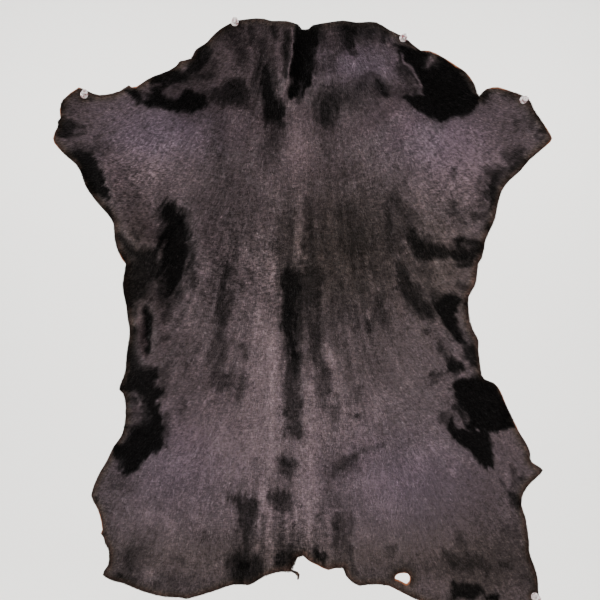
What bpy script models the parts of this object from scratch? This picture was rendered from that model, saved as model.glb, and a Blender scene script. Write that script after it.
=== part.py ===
"""A small hair-on hide pinned flat to a wall by five push pins, as solids in metres, +Z up.

The wall face is the plane y = 0 and the hair side looks along -Y. The origin is on the wall at the
middle of the neck edge, and x = 0 runs down the spine. Every size below is in millimetres.
"""

import math

import bmesh
import bpy
import numpy as np
from mathutils import Matrix, Vector, geometry

MM = 0.001

# The hide: 1.2 mm of tanned skin under 1.6 mm of short hair lying flat.
HIDE_THICKNESS = 2.8
WALL_CLEARANCE = 0.5
REST_LIFT = 5.0
FLOOR_ROUNDING = 1.0
OUTLINE_STEP = 8.0
HOLE_STEP = 2.7
FINE_GRID = 9.0
BEND_THAT_NEEDS_FINE_GRID = 0.015
EDGE_MARGIN = 5.0

# A lifted spot is drawn in towards the middle of the hide, by its distance from there times its
# lift over DRAW_IN_LENGTH.
HIDE_MIDDLE = (0.0, -337.5)
DRAW_IN_LENGTH = 950.0

# Each push pin: a waisted clear head with a collar, moulded round a steel needle.
COLLAR_RADIUS = 4.7
KNOB_RADIUS = 3.4
WAIST_RADIUS = 2.3
HEAD_LENGTH = 12.6
NEEDLE_RADIUS = 0.55
NEEDLE_LENGTH = 17.0
NEEDLE_POINT_LENGTH = 2.5
NEEDLE_SEAT_DEPTH = 6.5
FIT_GAP = 0.3
BORE_RADIUS = NEEDLE_RADIUS + FIT_GAP
HEAD_SIDES = 24
NEEDLE_SIDES = 12
PIN_HOLE_SIDES = 10
PRESS_RADIUS = 24.0
PRESSED_RIM_RISE = 0.2

# Where each needle goes through the hide: x, z, and how far the pin leans in x and z for each
# millimetre that it stands out from the wall.
PINS = {
    "left_foreleg": (-270.0, -82.5, 0.34, 0.09),
    "neck_left": (-81.5, 8.6, 0.10, -0.07),
    "neck_right": (128.4, -11.0, 0.05, -0.11),
    "right_foreleg": (278.2, -88.0, 0.02, -0.09),
    "right_hind_leg": (292.0, -707.0, 0.12, 0.09),
}

# The outline of the hide, clockwise as seen from the hair side, one list for each stretch.
NECK = [
    (-270, -73.5), (-259, -79), (-251, -81), (-242.5, -80.5), (-234, -79), (-226, -76.5),
    (-219, -72.5), (-214, -69), (-210.5, -71.5), (-204.5, -71), (-198, -67), (-191, -62),
    (-181, -57), (-164, -50.5), (-155, -45), (-150, -38.5), (-144, -37.5), (-136, -35),
    (-134, -31), (-130.5, -24), (-125, -20), (-117.5, -16), (-114, -12), (-105.5, -3), (-99, 2),
    (-87.5, 8.5), (-77.5, 12.5), (-66, 14), (-55, 15), (-45, 14.5), (-36, 12), (-17.5, 11.5),
    (-2.5, 6.5), (2.5, 0.5), (10.5, 1), (16, 6), (34, 9.5), (54, 12), (70, 9.5), (95.5, 10),
    (110, 1.5), (125, -6), (134, -11.5), (142.5, -19), (151, -25.5), (161, -25.5), (179, -34),
    (196, -45), (207.5, -53), (217.5, -67), (221, -79), (223.5, -84),
]
RIGHT_FORELEG = [
    (225.5, -80.5), (229, -76.5), (233, -73.5), (240, -71.5), (247.5, -71), (255, -73),
    (274.5, -80), (284, -84), (289, -90.5), (292.5, -99), (304, -115.5), (313, -129.5),
    (315.5, -135.5), (313, -140), (301, -150.5), (287.5, -162), (275.5, -176), (262, -188),
    (252.5, -201), (248, -214),
]
RIGHT_FLANK = [
    (246, -224), (244, -235), (240, -245), (231.5, -263), (230, -274), (227.5, -285.5),
    (223, -292), (222, -301), (220.5, -312), (218, -320.5), (211, -333), (211.5, -352.5),
    (213.5, -367), (221, -382.5), (223.5, -389), (223, -399), (225, -420), (226.5, -430),
]
RIGHT_HIND_LEG = [
    (230.5, -436), (242.5, -441), (248, -446.5), (254, -458), (261, -476), (273, -500),
    (284, -519), (288, -531), (287, -535), (290.5, -540.5), (301, -547), (304, -550.5),
    (300.5, -555), (284, -571), (277.5, -584), (277, -594), (282, -609.5), (285, -631),
    (286.5, -641), (286, -649.5), (297, -684), (298, -700), (298, -714), (291, -719.5),
    (262.5, -724.5), (225, -727), (187.5, -724), (162.5, -718), (146, -712), (126, -702.5),
    (111, -695), (100, -693), (85, -693.5), (74, -695), (61, -687), (57, -682), (54, -673),
    (44, -673.5), (35.5, -676),
]
TAIL_NOTCH = [
    (21, -669.5), (10, -664), (4, -658), (-4, -660.5), (-6.5, -667.5), (-8.5, -671), (-11.5, -674),
    (-7, -676), (-3, -677.5), (-0.5, -681), (-1, -685), (-2.5, -687), (-4, -687), (-3.5, -683.5),
    (-4, -681), (-6, -679.5), (-10.5, -678), (-15, -678),
]
LEFT_HIND_LEG = [
    (-25, -678), (-44, -683), (-61, -693), (-65.5, -694), (-84, -693.5), (-102.5, -699.5),
    (-130, -708), (-142.5, -711), (-151, -709), (-169, -708), (-190, -703), (-206, -697.5),
    (-222.5, -690.5), (-231, -689), (-242.5, -684), (-246.5, -681), (-245, -676), (-239.5, -668),
    (-238.5, -659), (-239, -650), (-244, -641), (-246, -634), (-249, -629.5), (-247, -624.5),
    (-248.5, -615), (-253, -599.5), (-261, -581.5), (-259.5, -574), (-252, -556), (-241, -537),
    (-233, -520), (-222.5, -506),
]
LEFT_FLANK = [
    (-219.5, -495), (-217.5, -477.5), (-218, -467.5), (-221, -454.5), (-226, -449.5), (-225, -444),
    (-219, -429.5), (-216.5, -406), (-212, -376), (-214.5, -362), (-217, -345), (-221, -327.5),
    (-222, -317.5), (-219, -301), (-218, -292.5), (-223, -286), (-229.5, -270.5), (-231.5, -254),
]
LEFT_FORELEG = [
    (-232.5, -242.5), (-240.5, -230), (-252.5, -217), (-264, -202.5), (-269, -194), (-275, -176),
    (-280, -168), (-295, -155), (-307.5, -141), (-309, -135.5), (-307, -127.5), (-303, -121),
    (-303, -114), (-300, -110), (-301, -99.5), (-299.5, -93), (-296.5, -87), (-287.5, -78),
    (-281, -74), (-277, -71),
]
OUTLINE = (
    NECK
    + RIGHT_FORELEG
    + RIGHT_FLANK
    + RIGHT_HIND_LEG
    + TAIL_NOTCH
    + LEFT_HIND_LEG
    + LEFT_FLANK
    + LEFT_FORELEG
)

# A torn hole near the lower edge of the right hind leg.
HOLE = [
    (119, -684), (122, -680.5), (129, -679), (135, -680), (137, -683.5), (137, -688),
    (133.5, -692.5), (129, -690.5), (123, -687.5), (119, -686),
]

# Folds of the sheet. Each is a line of (x, z, lift) points and the width over which the lift dies
# away on the left and on the right of the line, looking along it. A negative lift is a trough.
FOLDS = {
    "left cowl lip": (24, 62, [
        (-235, -77, 1), (-215, -85, 6), (-187, -94, 14), (-150, -101, 20), (-116, -98, 16),
        (-90, -82, 9), (-71, -65, 2),
    ]),
    "left cowl pleat": (8, 9, [
        (-172, -82, 1), (-156, -74, 4), (-140, -65, 6), (-117, -51, 5), (-108, -36, 0),
    ]),
    "left cowl notch": (8, 8, [(-131, -24, -3), (-118, -36, -5), (-110, -54, -1)]),
    "neck swell left": (40, 40, [(-92, -14, 1), (-72, -42, 8), (-60, -75, 5), (-52, -110, 0)]),
    "neck swell right": (46, 46, [(84, 0, 3), (68, -38, 10), (60, -75, 6), (58, -110, 0)]),
    "neck crease": (8, 26, [
        (-10, 8, 8), (-8.5, -19, 13), (-11, -38, 15), (-15, -59, 14), (-19, -78, 9), (-14, -90, 1),
    ]),
    "neck valley side": (40, 8, [(25, 7, 6), (24, -25, 9), (20, -52, 9), (12, -72, 6), (4, -87, 1)]),
    "neck band": (11, 13, [(-48, -40, -2), (-40, -68, -6), (-35, -94, -6), (-34, -118, -1)]),
    "neck hollow right": (12, 12, [(22, -70, -1), (30, -92, -4), (38, -120, -1)]),
    "pocket lip": (36, 78, [
        (110, -60, 1), (125, -79, 11), (136, -93, 20), (156, -108, 30), (179, -114, 35),
        (201, -107, 29), (220, -94, 15), (236, -80, 3),
    ]),
    "pocket crease": (9, 32, [(129, -16, 3), (126, -28, 8), (139, -50, 10), (159, -76, 7), (170, -92, 0)]),
    "shoulder curve right": (8, 9, [(80, -60, -1), (100, -67, -5), (115, -77, -4), (126, -85, -1)]),
    "left shoulder trough": (15, 13, [
        (-152, -210, -1), (-150, -244, -7), (-155, -281, -9), (-158, -312, -6), (-166, -340, -1),
    ]),
    "left shoulder ridge": (22, 14, [(-126, -222, 1), (-123, -268, 5), (-128, -325, 4), (-132, -388, 0)]),
    "left elbow ridge": (34, 8, [
        (-233, -226, 1), (-223, -245, 6), (-214, -260, 9), (-200, -269, 10), (-180, -266, 6), (-170, -256, 1),
    ]),
    "left foreleg curl": (20, 8, [(-256, -160, 1), (-247, -178, 5), (-239, -200, 6), (-238, -220, 1)]),
    "left foreleg trough": (9, 10, [(-270, -162, -1), (-260, -185, -5), (-249, -208, -4), (-243, -226, -1)]),
    "left foreleg dimple": (8, 8, [(-301, -116, -3), (-285, -124, -4), (-271, -131, -1)]),
    "left flank hollow": (14, 12, [(-222, -304, -3), (-200, -312, -4), (-176, -309, -1)]),
    "left flank buckle rim": (8, 8, [
        (-192, -339, 3), (-202, -356, 7), (-204, -381, 8), (-199, -406, 7), (-190, -418, 4),
        (-181, -403, 6), (-180, -369, 6), (-185, -343, 3),
    ]),
    "left flank buckle slit": (8, 8, [(-191, -344, -2), (-189, -375, -9), (-191, -406, -2)]),
    "left hip lip": (26, 70, [
        (-236, -550, 2), (-222, -560, 7), (-205, -554, 13), (-182, -535, 18), (-168, -514, 17),
        (-166, -487, 12), (-174, -456, 8), (-178, -426, 2),
    ]),
    "spine ridge": (12, 9, [
        (4, -125, 0), (6, -212, 2), (6, -288, 3), (6, -375, 4), (7, -462, 4), (7, -512, 2), (2, -560, 0),
    ]),
    "spine trough": (9, 9, [
        (-10, -280, 0), (-9, -338, -3), (-10, -425, -3), (-11, -500, -2), (-12, -520, 0),
    ]),
    "right shoulder trough": (14, 14, [(146, -250, -2), (142, -300, -5), (134, -350, -3), (128, -380, 0)]),
    "right elbow ridge": (20, 9, [(165, -250, 1), (188, -257, 6), (208, -260, 7), (229, -259, 5)]),
    "right elbow trough": (9, 10, [(170, -280, -1), (194, -283, -4), (222, -281, -4)]),
    "right flank ridge": (9, 10, [(172, -305, 1), (194, -316, 6), (212, -312, 6), (221, -306, 3)]),
    "right flank trough": (9, 9, [(186, -336, -2), (198, -362, -5), (208, -386, -2)]),
    "right flank wrinkle": (8, 9, [(172, -392, 1), (190, -403, 5), (204, -417, 6), (225, -430, 3)]),
    "right hip lip": (26, 62, [
        (182, -437, 2), (186, -462, 7), (188, -494, 10), (194, -512, 13), (207, -525, 15),
        (225, -541, 13), (242, -551, 8), (251, -556, 1),
    ]),
    "right hip shelf": (30, 9, [(231, -503, 4), (247, -503, 12), (262, -501, 13), (276, -499, 8)]),
    "right hip crease": (26, 9, [(236, -504, 3), (242, -525, 5), (244, -548, 1)]),
    "right foreleg dimples": (8, 9, [(232, -182, -1), (250, -188, -4), (264, -178, -4), (278, -156, -3)]),
    "rump curve": (11, 11, [(118, -515, -1), (82, -524, -4), (56, -541, -6), (38, -562, -3)]),
    "rump trough right": (12, 12, [(54, -598, -1), (54, -626, -6), (56, -648, -4), (60, -676, -1)]),
    "rump trough left": (14, 14, [
        (-68, -575, -1), (-65, -606, -6), (-66, -638, -4), (-65, -668, -8), (-62, -688, -4),
    ]),
    "tail trough": (12, 12, [(-16, -538, -3), (-17, -562, -1), (-20, -590, -6), (-15, -612, -1)]),
    "tail side trough": (11, 11, [(-17, -636, -1), (-19, -663, -5)]),
    "left hind leg swell": (40, 50, [(-215, -640, 3), (-170, -660, 8), (-120, -660, 6), (-90, -640, 1)]),
    "left hind edge curl": (9, 16, [
        (-246, -610, 3), (-240, -640, 5), (-228, -668, 4), (-200, -686, 5), (-160, -696, 4),
    ]),
    "right hind leg swell": (60, 60, [(90, -600, 3), (140, -640, 8), (200, -640, 7), (250, -620, 2)]),
    "right hind hollow": (15, 14, [(188, -694, -2), (215, -702, -6), (244, -698, -4), (262, -704, -1)]),
    "tail notch flare": (16, 16, [(-20, -690, 5), (4, -664, 8), (34, -682, 6), (62, -692, 3)]),
}

# Slow unevenness of a skin that dried on the flat: (height, wave length in x, wave length in z, turn).
UNEVENNESS = [(0.9, 210, 330, 0.4), (0.6, -120, 170, 1.9), (0.4, 76, 98, 3.1)]


def smooth_outline(corners, step):
    """Points about one step apart on the centripetal Catmull-Rom curve through the corners."""
    corners = [Vector(corner) for corner in corners]
    count = len(corners)
    points = []
    for index in range(count):
        before, start, end, after = (corners[(index + shift) % count] for shift in (-1, 0, 1, 2))
        knots = [0.0]
        for one, two in ((before, start), (start, end), (end, after)):
            knots.append(knots[-1] + math.sqrt((two - one).length))
        pieces = max(1, round((end - start).length / step))
        for piece in range(pieces):
            t = knots[1] + (knots[2] - knots[1]) * piece / pieces
            points.append(catmull_rom(t, knots, (before, start, end, after)))
    return points


def blend(one, two, low, high, t):
    return one + (two - one) * ((t - low) / (high - low))


def catmull_rom(t, knots, corners):
    """The curve's point at parameter t, by repeated blending of its four corners."""
    near = [blend(corners[i], corners[i + 1], knots[i], knots[i + 1], t) for i in range(3)]
    wide = [blend(near[i], near[i + 1], knots[i], knots[i + 2], t) for i in range(2)]
    return blend(wide[0], wide[1], knots[1], knots[2], t)


def fold_lift(points, line, left_width, right_width):
    """How far one fold lifts each point: its line's own lift times a bell across the line."""
    nearest = np.full(len(points), np.inf)
    lift = np.zeros(len(points))
    line = np.array(line, float)
    for start, end in zip(line[:-1], line[1:]):
        along = end[:2] - start[:2]
        length = np.hypot(*along)
        offset = points - start[:2]
        share = np.clip(offset @ along / length**2, 0, 1)
        away = offset - share[:, None] * along
        distance = np.hypot(away[:, 0], away[:, 1])
        side = along[0] * offset[:, 1] - along[1] * offset[:, 0]
        width = np.where(side > 0, left_width, right_width)
        closer = distance < nearest
        here = (start[2] + share * (end[2] - start[2])) * np.exp(-((distance / width) ** 2))
        lift[closer] = here[closer]
        nearest[closer] = distance[closer]
    return lift


def sheet_lift(points):
    """The height of the sheet's back above the wall at each (x, z) point."""
    lift = np.full(len(points), REST_LIFT)
    for left_width, right_width, line in FOLDS.values():
        lift += fold_lift(points, line, left_width, right_width)
    for height, wave_x, wave_z, turn in UNEVENNESS:
        lift += height * np.sin(2 * math.pi * (points[:, 0] / wave_x + points[:, 1] / wave_z) + turn)
    for pin_x, pin_z, _, _ in PINS.values():
        distance = np.hypot(points[:, 0] - pin_x, points[:, 1] - pin_z)
        lift *= 1 - np.exp(-((distance / PRESS_RADIUS) ** 2))
    # A rounded floor, so that no trough passes through the wall.
    return WALL_CLEARANCE + (lift + np.sqrt(lift**2 + FLOOR_ROUNDING**2) - FLOOR_ROUNDING) / 2


def draw_in(points, lift):
    """Moves points towards the middle of the hide by what their lift takes up."""
    middle = np.array(HIDE_MIDDLE)
    shrink = 1 - (lift + HIDE_THICKNESS / 2) / DRAW_IN_LENGTH
    return middle + (points - middle) * shrink[:, None]


def inside(points, loop):
    """Whether each point is inside the closed loop, by counting the edges to its right."""
    result = np.zeros(len(points), bool)
    for (ax, az), (bx, bz) in zip(loop, np.roll(loop, -1, axis=0)):
        if az == bz:
            continue
        between = (points[:, 1] < az) != (points[:, 1] < bz)
        crossing = ax + (points[:, 1] - az) / (bz - az) * (bx - ax)
        result ^= between & (points[:, 0] < crossing)
    return result


def grid_points(loops):
    """A triangular grid inside the outline: every second point of every second row, and the points
    between them only where the sheet bends."""
    low, high = loops[0].min(axis=0), loops[0].max(axis=0)
    row_height = FINE_GRID * math.sqrt(3) / 2
    rows = int((high[1] - low[1]) / row_height) + 1
    columns = int((high[0] - low[0]) / FINE_GRID) + 2
    points, coarse = [], []
    for row in range(rows):
        for column in range(columns):
            shift = (row % 2) / 2
            points.append((low[0] + (column - shift) * FINE_GRID, low[1] + row * row_height))
            coarse.append(row % 2 == 0 and (column + row // 2) % 2 == 0)
    points, coarse = np.array(points), np.array(coarse)
    around = [(FINE_GRID, 0), (-FINE_GRID, 0), (0, FINE_GRID), (0, -FINE_GRID)]
    neighbours = sum(sheet_lift(points + np.array(step)) for step in around)
    bend = np.abs(neighbours - 4 * sheet_lift(points)) / FINE_GRID**2
    keep = (coarse | (bend > BEND_THAT_NEEDS_FINE_GRID)) & inside(points, loops[0])
    for loop in loops[1:]:
        keep &= ~inside(points, loop)
    every_edge_point = np.concatenate(loops)
    for index in np.flatnonzero(keep):
        keep[index] = np.hypot(*(every_edge_point - points[index]).T).min() > EDGE_MARGIN
    return points[keep]


def add_material(name, colour, roughness, metallic=0.0, transmission=0.0):
    material = bpy.data.materials.new(name)
    material.use_nodes = True
    shader = material.node_tree.nodes["Principled BSDF"]
    shader.inputs["Base Color"].default_value = (*colour, 1.0)
    shader.inputs["Roughness"].default_value = roughness
    shader.inputs["Metallic"].default_value = metallic
    shader.inputs["Transmission Weight"].default_value = transmission
    return material


def add_object(name, shape, material):
    mesh = bpy.data.meshes.new(name)
    shape.to_mesh(mesh)
    shape.free()
    mesh.materials.append(material)
    mesh.shade_smooth()
    mesh.set_sharp_from_angle(angle=math.radians(50))
    thing = bpy.data.objects.new(name, mesh)
    bpy.context.scene.collection.objects.link(thing)
    return thing


def pin_hole(pin_x, pin_z, lean_x, lean_z):
    """The loop that a needle pierces, with the fit gap round it and room for the needle's lean."""
    turns = [2 * math.pi * side / PIN_HOLE_SIDES for side in range(PIN_HOLE_SIDES)]
    room_to_lean = HIDE_THICKNESS / 2 * math.hypot(lean_x, lean_z)
    reach = (BORE_RADIUS + room_to_lean) / math.cos(math.pi / PIN_HOLE_SIDES)
    return np.array([(pin_x + reach * math.cos(turn), pin_z + reach * math.sin(turn)) for turn in turns])


def sheet_triangles(loops):
    """The sheet's flat points and triangles, with the loops after the first cut out of it."""
    flat = np.concatenate([*loops, grid_points(loops)])
    edges, start = [], 0
    for loop in loops:
        count = len(loop)
        edges += [(start + index, start + (index + 1) % count) for index in range(count)]
        start += count
    found = geometry.delaunay_2d_cdt([Vector(point) for point in flat], edges, [], 1, 1e-5)
    flat = np.array([tuple(point) for point in found[0]])
    triangles = np.array(found[2])
    centres = flat[triangles].mean(axis=1)
    keep = inside(centres, loops[0])
    for loop in loops[1:]:
        keep &= ~inside(centres, loop)
    triangles = triangles[keep]
    sides = flat[triangles[:, 1:]] - flat[triangles[:, :1]]
    turned = sides[:, 0, 0] * sides[:, 1, 1] - sides[:, 0, 1] * sides[:, 1, 0] < 0
    triangles[turned] = triangles[turned][:, ::-1]
    return flat, triangles


def make_hide(material):
    """The hide as one closed sheet: a middle surface, given its thickness along its normals."""
    outline = np.array([tuple(point) for point in smooth_outline(OUTLINE, OUTLINE_STEP)])
    hole = np.array([tuple(point) for point in smooth_outline(HOLE, HOLE_STEP)])
    loops = [outline, hole] + [pin_hole(*place) for place in PINS.values()]
    flat, triangles = sheet_triangles(loops)
    lift = sheet_lift(flat)
    placed = draw_in(flat, lift)
    middle = np.column_stack([placed[:, 0], -(lift + HIDE_THICKNESS / 2), placed[:, 1]])
    corners = middle[triangles]
    face_normals = np.cross(corners[:, 1] - corners[:, 0], corners[:, 2] - corners[:, 0])
    normals = np.zeros_like(middle)
    for corner in range(3):
        np.add.at(normals, triangles[:, corner], face_normals)
    normals /= np.linalg.norm(normals, axis=1)[:, None]

    shape = bmesh.new()
    hair_side = [shape.verts.new(point * MM) for point in middle + normals * HIDE_THICKNESS / 2]
    flesh_side = [shape.verts.new(point * MM) for point in middle - normals * HIDE_THICKNESS / 2]
    edges = set()
    for one, two, three in triangles.tolist():
        shape.faces.new((hair_side[one], hair_side[two], hair_side[three]))
        shape.faces.new((flesh_side[three], flesh_side[two], flesh_side[one]))
        edges |= {(one, two), (two, three), (three, one)}
    for start, end in sorted(edges):
        if (end, start) not in edges:
            shape.faces.new((hair_side[end], hair_side[start], flesh_side[start], flesh_side[end]))
    add_object("hide", shape, material)


def turned(profile, sides):
    """A closed round body from a profile of (radius, height) points that starts and ends on the axis."""
    shape = bmesh.new()
    rings = []
    for radius, height in profile:
        turns = [2 * math.pi * side / sides for side in range(sides if radius else 1)]
        rings.append([
            shape.verts.new(Vector((radius * math.cos(turn), radius * math.sin(turn), height)) * MM)
            for turn in turns
        ])
    for lower, upper in zip(rings[:-1], rings[1:]):
        for side in range(sides):
            after = (side + 1) % sides
            corners = [
                lower[side % len(lower)],
                lower[after % len(lower)],
                upper[after % len(upper)],
                upper[side % len(upper)],
            ]
            shape.faces.new(list(dict.fromkeys(corners)))
    bmesh.ops.recalc_face_normals(shape, faces=shape.faces)
    return shape


def head_profile():
    """The clear head, from its blind bore, out along the collar, in at the waist, to the knob."""
    return [
        (0, NEEDLE_SEAT_DEPTH),
        (BORE_RADIUS, NEEDLE_SEAT_DEPTH),
        (BORE_RADIUS, 0),
        (COLLAR_RADIUS - 0.5, 0),
        (COLLAR_RADIUS, 0.5),
        (COLLAR_RADIUS, 1.4),
        (COLLAR_RADIUS - 0.6, 2.0),
        (WAIST_RADIUS + 0.5, 2.6),
        (WAIST_RADIUS, 3.8),
        (WAIST_RADIUS, 6.6),
        (WAIST_RADIUS + 0.3, 8.4),
        (KNOB_RADIUS - 0.3, 9.4),
        (KNOB_RADIUS, 10.0),
        (KNOB_RADIUS, HEAD_LENGTH - 0.8),
        (KNOB_RADIUS - 0.7, HEAD_LENGTH),
        (0, HEAD_LENGTH),
    ]


def needle_profile():
    return [
        (0, 0),
        (NEEDLE_RADIUS * 0.55, NEEDLE_POINT_LENGTH * 0.5),
        (NEEDLE_RADIUS, NEEDLE_POINT_LENGTH),
        (NEEDLE_RADIUS, NEEDLE_LENGTH - 0.2),
        (NEEDLE_RADIUS - 0.2, NEEDLE_LENGTH),
        (0, NEEDLE_LENGTH),
    ]


def make_push_pin(name, place, plastic, steel):
    """One push pin: its needle goes through the hide at the place, and its collar is just clear."""
    pin_x, pin_z, lean_x, lean_z = place
    middle_lift = np.array([WALL_CLEARANCE])
    entry_x, entry_z = draw_in(np.array([[pin_x, pin_z]]), middle_lift)[0]
    axis = Vector((lean_x, -1.0, lean_z))
    tilt = math.atan(math.hypot(lean_x, lean_z))
    front = WALL_CLEARANCE + HIDE_THICKNESS
    foot = front + FIT_GAP + PRESSED_RIM_RISE + COLLAR_RADIUS * math.sin(tilt)
    entry = Vector((entry_x, -(WALL_CLEARANCE + HIDE_THICKNESS / 2), entry_z))
    underside = entry + axis * (foot + entry.y)
    turn = axis.to_track_quat("Z", "X").to_matrix().to_4x4()
    head = add_object(f"push_pin_{name}_head", turned(head_profile(), HEAD_SIDES), plastic)
    head.matrix_world = Matrix.Translation(underside * MM) @ turn
    tip = underside + axis.normalized() * (NEEDLE_SEAT_DEPTH - FIT_GAP - NEEDLE_LENGTH)
    needle = add_object(f"push_pin_{name}_needle", turned(needle_profile(), NEEDLE_SIDES), steel)
    needle.matrix_world = Matrix.Translation(tip * MM) @ turn


for old in list(bpy.data.objects):
    bpy.data.objects.remove(old, do_unlink=True)

make_hide(add_material("black_hair_coat", (0.020, 0.016, 0.017), 0.45))
clear_plastic = add_material("clear_plastic", (0.85, 0.83, 0.84), 0.08, transmission=0.9)
pin_steel = add_material("pin_steel", (0.62, 0.62, 0.64), 0.3, metallic=1.0)
for pin_name, pin_place in PINS.items():
    make_push_pin(pin_name, pin_place, clear_plastic, pin_steel)
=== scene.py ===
# %% [markdown]
# # A black hair-on hide on push pins
#
# A hair-on hide is a single skin that was tanned with its coat still on. What the eye
# meets is not leather but hair: short, sleek and black, lying flat along the nap, with
# a thin line of raw brown leather where the knife cut the edge. So most of this lesson
# is about hair. The skin under it and the clear pins that hold it are quick by comparison.
#
# The solids of the part are loaded first. They fix where everything is, and every piece
# below takes its place from them.

# %% Load the solids
import math

import bmesh
import bpy
import numpy as np
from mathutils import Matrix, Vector
from mathutils.bvhtree import BVHTree
from mathutils.kdtree import KDTree


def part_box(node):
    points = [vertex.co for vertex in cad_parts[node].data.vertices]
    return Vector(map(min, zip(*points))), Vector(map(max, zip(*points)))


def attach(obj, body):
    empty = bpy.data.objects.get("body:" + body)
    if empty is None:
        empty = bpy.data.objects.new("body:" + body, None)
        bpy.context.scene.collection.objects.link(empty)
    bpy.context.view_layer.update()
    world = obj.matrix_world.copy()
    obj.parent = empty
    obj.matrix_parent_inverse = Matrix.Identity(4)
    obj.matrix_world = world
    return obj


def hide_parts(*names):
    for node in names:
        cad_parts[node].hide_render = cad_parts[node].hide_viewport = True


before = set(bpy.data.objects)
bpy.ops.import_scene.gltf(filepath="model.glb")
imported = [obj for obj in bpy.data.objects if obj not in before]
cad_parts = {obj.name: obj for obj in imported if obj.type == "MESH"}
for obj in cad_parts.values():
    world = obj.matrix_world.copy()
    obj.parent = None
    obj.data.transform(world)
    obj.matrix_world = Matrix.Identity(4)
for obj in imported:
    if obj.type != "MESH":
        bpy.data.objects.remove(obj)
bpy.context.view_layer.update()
hide_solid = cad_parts["hide"]
hide_low, hide_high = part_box("hide")

MM = 0.001
print("solids:", sorted(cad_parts))

# %% [markdown]
# Colours are written as the sRGB hex values that a colour picker shows. Blender's shaders
# work in linear light, so one function turns them. A few more small functions each add
# one kind of shader node, which keeps every material readable as a recipe. All textures
# are in the piece's own space, so their scales are simply so many to a metre.

# %% Colour and node helpers
NOISE_SPAN = (0.3, 0.7)  # where most values of a noise texture lie


def linear(hex_colour):
    """An sRGB hex colour as linear red, green, blue and full alpha."""
    channels = [int(hex_colour[i : i + 2], 16) / 255 for i in (1, 3, 5)]
    turned = [c / 12.92 if c <= 0.04045 else ((c + 0.055) / 1.055) ** 2.4 for c in channels]
    return (*turned, 1.0)


def new_material(name):
    """A node material that starts with its Principled shader alone."""
    material = bpy.data.materials.new(name)
    material.use_nodes = True
    return material, material.node_tree.nodes["Principled BSDF"]


def wire(material, node, links=(), values=()):
    """Sets and links input sockets of a node, each picked by its name or number."""
    for socket, value in dict(values).items():
        node.inputs[socket].default_value = value
    for socket, output in dict(links).items():
        material.node_tree.links.new(output, node.inputs[socket])


def add_node(material, kind, links=(), values=(), **settings):
    """Adds a node with its settings, values and links, and returns it."""
    node = material.node_tree.nodes.new("ShaderNode" + kind)
    for key, value in settings.items():
        setattr(node, key, value)
    wire(material, node, links, values)
    return node


def ramp(material, amount, colours, middle=0.5):
    """A colour ramp from the first hex colour to the last, by way of one at the middle."""
    node = add_node(material, "ValToRGB", {"Fac": amount})
    stops = node.color_ramp.elements
    if len(colours) > len(stops):
        stops.new(middle)
    for stop, colour in zip(stops, colours):
        stop.color = linear(colour)
    return node.outputs["Color"]


def texture(material, kind, scale, **values):
    """A texture's first output. Its scale is one number, or one for each axis."""
    stretch = {"Scale": scale if isinstance(scale, tuple) else (scale,) * 3}
    place = add_node(material, "TexCoord").outputs["Object"]
    place = add_node(material, "Mapping", {"Vector": place}, stretch).outputs[0]
    return add_node(material, kind, {"Vector": place}, {"Scale": 1.0, **values}).outputs[0]


def rescale(material, amount, span, new_span=(0, 1)):
    """Stretches values, so that one span of them becomes another."""
    limits = dict(enumerate((*span, *new_span), 1))
    return add_node(material, "MapRange", {0: amount}, limits).outputs[0]


def number_on_points(material, name):
    """A number that rides on the points of the piece."""
    return add_node(material, "Attribute", attribute_name=name).outputs["Fac"]


def product(material, one, other):
    """Two numbers multiplied."""
    return add_node(material, "Math", {0: one, 1: other}, operation="MULTIPLY").outputs[0]


def bumps(material, height, strength, depth):
    """A surface normal that bumps up to the depth, in metres, turn aside."""
    values = {"Strength": strength, "Distance": depth}
    return add_node(material, "Bump", {"Height": height}, values).outputs["Normal"]


def new_object(name, data):
    """An object in the scene."""
    made = bpy.data.objects.new(name, data)
    bpy.context.scene.collection.objects.link(made)
    return made


print(f"sRGB #808080 is {linear('#808080')[0]:.3f} in linear light")

# %% [markdown]
# ## The relief of the hide
#
# A hide that hangs face-on folds gently and never overlaps itself, so its shape can be
# kept as a height map: one number, the distance from the wall, for each point of the
# picture plane. A map is easy to blur, to slope and to read at a million points at once,
# which is what hair needs. Rays shot at the solid fill the map. A light blur then takes
# away the solid's flat facets.

# %% Set up the map
MAP_STEP = 1.25  # mm
MAP_MARGIN = 20.0

map_x = np.arange(hide_low.x / MM - MAP_MARGIN, hide_high.x / MM + MAP_MARGIN, MAP_STEP)
map_z = np.arange(hide_low.z / MM - MAP_MARGIN, hide_high.z / MM + MAP_MARGIN, MAP_STEP)
grid_x, grid_z = np.meshgrid(map_x, map_z)


def sample(field, x, z):
    """The map's value at points x, z in millimetres, blended between four cells."""
    column = np.clip((x - map_x[0]) / MAP_STEP, 0, len(map_x) - 1.001)
    row = np.clip((z - map_z[0]) / MAP_STEP, 0, len(map_z) - 1.001)
    i, j = row.astype(int), column.astype(int)
    up, across = row - i, column - j
    low = field[i, j] * (1 - across) + field[i, j + 1] * across
    high = field[i + 1, j] * (1 - across) + field[i + 1, j + 1] * across
    return low * (1 - up) + high * up


def blur(field, radius):
    """A Gaussian blur whose standard deviation is radius, in millimetres."""
    reach = int(3 * radius / MAP_STEP) + 1
    weights = np.exp(-0.5 * (np.arange(-reach, reach + 1) * MAP_STEP / radius) ** 2)
    weights /= weights.sum()
    for axis in (0, 1):
        field = sum(w * np.roll(field, k - reach, axis) for k, w in enumerate(weights))
    return field


print(f"map: {len(map_x)} x {len(map_z)} cells of {MAP_STEP} mm")


# %% Read the front of the solid into it
FACET_BLUR = 2.6
SPREAD_STEPS = 14


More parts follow.
